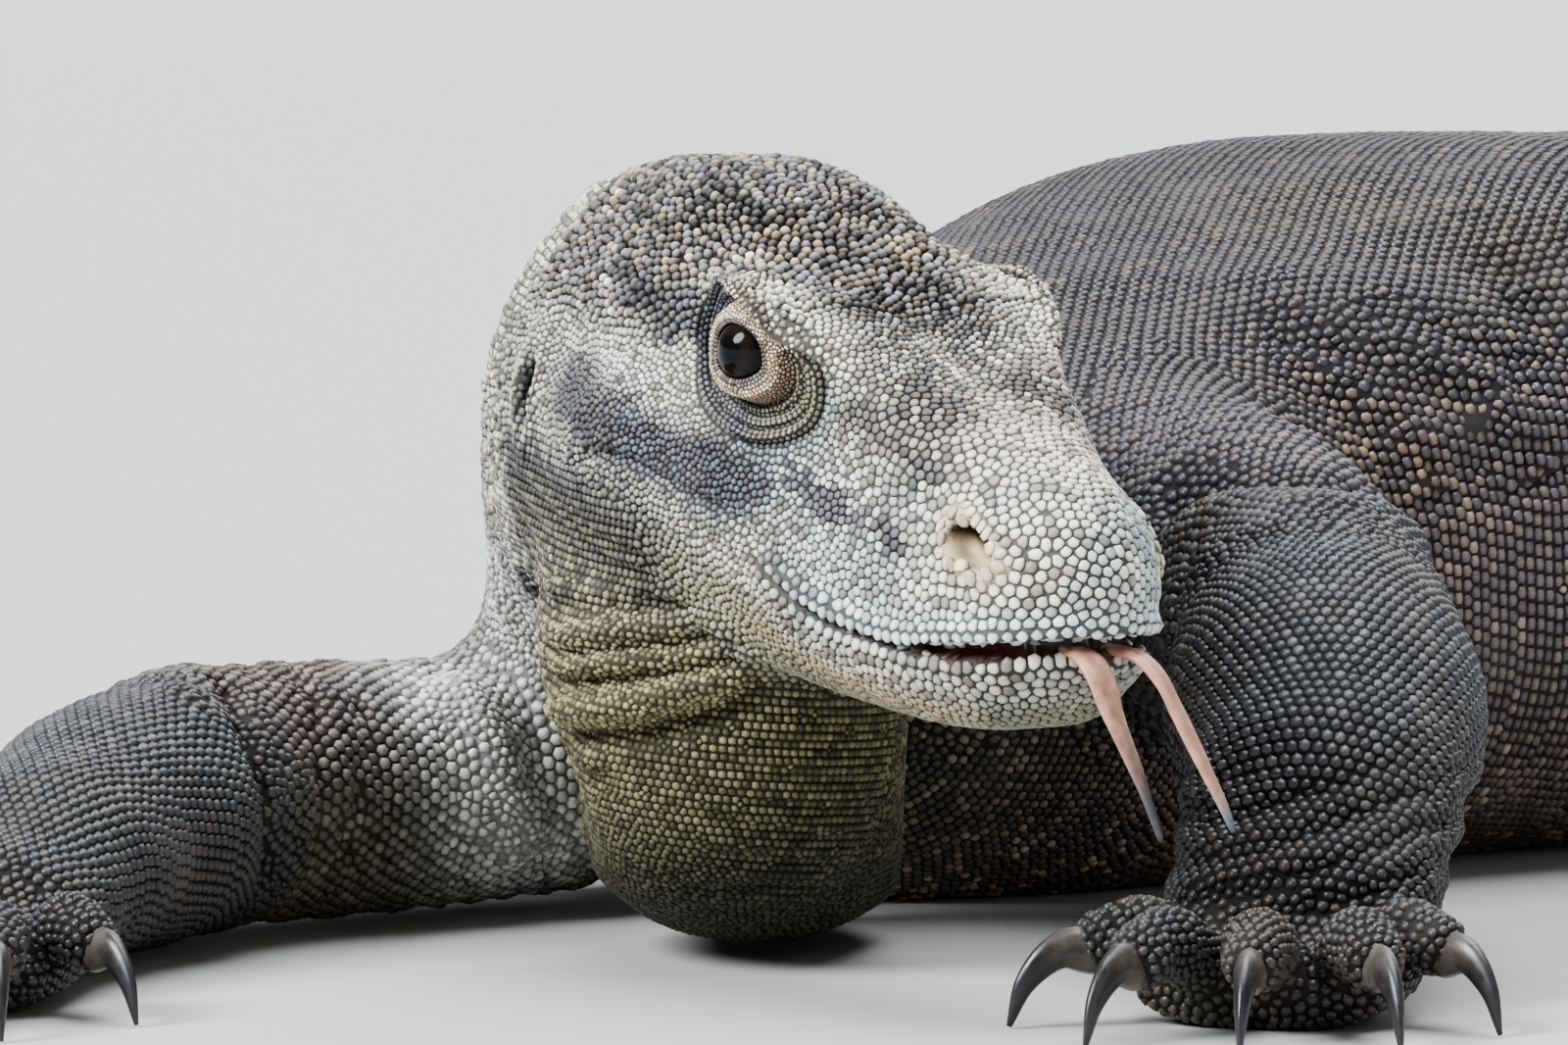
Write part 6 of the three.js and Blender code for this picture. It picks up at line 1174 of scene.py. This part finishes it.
TONGUE = [
    ([[150, 0, -8.6, 5.6, 1.0], [160, 0, -8.1, 5.6, 1.1], [172, 0, -6, 5.6, 1.2], [183, 0, -3.9, 5.2, 1.25], [187, 0, -2.9, 4.4, 1.2]], "root"),
    ([[178, -2.4, -4.8, 2.6, 1.1], [184, -3.0, -3.3, 2.8, 1.15], [190, -4.4, -2, 3.4, 1.3], [200, -5.2, -2.2, 4, 1.4], [205, -4.6, -6.2, 4.1, 1.4], [209, -3.4, -13, 4.1, 1.35], [215, 1.0, -26, 3.6, 1.2], [218, 4.6, -36, 2.7, 1.0], [219, 6.0, -40, 1.9, .8], [219.3, 6.5, -41.4, .5, .4]], "near"),
    ([[178, 2.4, -4.8, 2.4, 1.1], [184, 3.0, -3.3, 2.5, 1.15], [190, 4.4, -2, 2.6, 1.25], [200, 8.5, -2.2, 2.8, 1.35], [206, 10.8, -6, 2.8, 1.3], [210, 13, -12, 2.8, 1.25], [218, 17, -24, 2.6, 1.1], [223, 20.4, -33, 2.2, .9], [224.6, 21.8, -37, 1.6, .7], [225, 22.2, -38.4, .5, .4]], "far"),
]
runs = []
for keys, part in TONGUE:
    k = np.array(keys, float); us = np.linspace(0, len(k) - 1, 64); v = spline(k, us); h = 1e-3
    tan = unit(spline(k[:, :3], np.minimum(us + h, len(k) - 1)) - spline(k[:, :3], np.maximum(us - h, 0)))
    sd = unit(np.cross(tan, [0, 0, 1.0]) + 1e-9) * -1; sd = unit(sd + np.array([0, 0.001, 0])); up_ = unit(np.cross(tan, sd)) 
    w = 2 * np.pi * np.arange(20) / 20; cw, sw = np.cos(w), np.sin(w)
    prof = np.sign(cw) * np.abs(cw) ** 0.9
    th_ = v[:, 4][:, None] * sw[None] * (1 - 0.28 * np.exp(-(cw / 0.35) ** 2)[None])                      # a shallow groove along the middle
    L_ = v[:, None, :3] + sd[:, None] * (v[:, 3][:, None] * prof[None])[..., None] + up_[:, None] * th_[..., None]
    rings = head_world(L_); kk = np.linspace(0, 1, len(us))[:, None]
    pink, tan_, grey_ = C_(164, 108, 92), C_(186, 144, 122), C_(74, 72, 78) if part != "far" else C_(96, 110, 128)
    t0 = 0.55 if part == "near" else 0.68
    cols = pink * (1 - smooth(0.15, 0.5, kk)[..., None]) + tan_ * smooth(0.15, 0.5, kk)[..., None]
    g_ = smooth(t0, t0 + 0.2, kk)[..., None] if part != "root" else 0 * kk[..., None]; cols = cols * (1 - g_) + grey_ * g_
    cols = cols * (0.82 + 0.24 * np.abs(cw))[None, :, None] * np.ones(rings.shape)
    o = solid("tongue_" + part, rings, cols, M_TONGUE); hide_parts("tongue")
tick("eyes, claws, tongue")

# ---- stage, light and camera -------------------------------------------------------------------

fm = bpy.data.meshes.new("floor")
_n, _fillet = 144, 12.0                                                                             # a round floor that curves up far away on every side
_prof = [(0.6, 0.0), (2.5, 0.0), (8.0, 0.0), (19.0, 0.0)] + [(19.0 + _fillet * math.sin(a), _fillet - _fillet * math.cos(a)) for a in np.linspace(0, math.radians(42), 24)[1:]]
_ring = [(r * math.cos(2 * math.pi * k / _n), r * math.sin(2 * math.pi * k / _n), h) for r, h in _prof for k in range(_n)]
fm.from_pydata(_ring, [], [tuple(range(_n))] + [(i * _n + k, (i + 1) * _n + k, (i + 1) * _n + (k + 1) % _n, i * _n + (k + 1) % _n) for i in range(len(_prof) - 1) for k in range(_n)]); fm.update()
for p in fm.polygons: p.use_smooth = True
floor = link(bpy.data.objects.new("floor", fm))
m = bpy.data.materials.new("floor"); m.use_nodes = True; b = m.node_tree.nodes["Principled BSDF"]
b.inputs["Base Color"].default_value = (0.50, 0.49, 0.47, 1); b.inputs["Roughness"].default_value = 0.75
fm.materials.append(m)

bpy.context.scene.view_settings.view_transform = "AgX"; bpy.context.scene.view_settings.look = "AgX - Medium High Contrast"
w = bpy.data.worlds.new("studio"); bpy.context.scene.world = w; w.use_nodes = True
w.node_tree.nodes["Background"].inputs["Color"].default_value = (0.80, 0.90, 1.0, 1); w.node_tree.nodes["Background"].inputs["Strength"].default_value = 0.20

def soft_light(name, towards, degrees, strength, colour=(1, 1, 1)):
    """A broad, even light from one direction, as a large softbox far away gives."""
    l = bpy.data.lights.new(name, "SUN"); l.energy = strength; l.color = colour; l.angle = math.radians(degrees)
    o = link(bpy.data.objects.new(name, l)); o.location = Vector(towards) * 2; o.rotation_euler = Vector(towards).to_track_quat("Z", "Y").to_euler(); return o
soft_light("key", (-1.45, -0.85, 1.35), 30, 5.2, (0.92, 0.96, 1.0))
soft_light("top", (0.3, 0.2, 2.2), 50, 3.8, (0.90, 0.95, 1.0))
soft_light("fill", (1.6, -1.6, 0.7), 50, 0.45, (1.0, 0.97, 0.93))
soft_light("rim", (0.9, 2.2, 1.5), 40, 0.8, (0.9, 0.95, 1.0))

cam = bpy.data.cameras.new("camera"); co = link(bpy.data.objects.new("camera", cam))
co.location = [float(v) for v in to_m([0, -2195, 264])]; co.rotation_euler = (math.radians(86), 0, 0)
cam.lens = 9821 / 1600 * 36; cam.sensor_width = 36; cam.clip_start = 0.05; cam.clip_end = 60
bpy.context.scene.camera = co

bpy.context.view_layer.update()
tick("done")
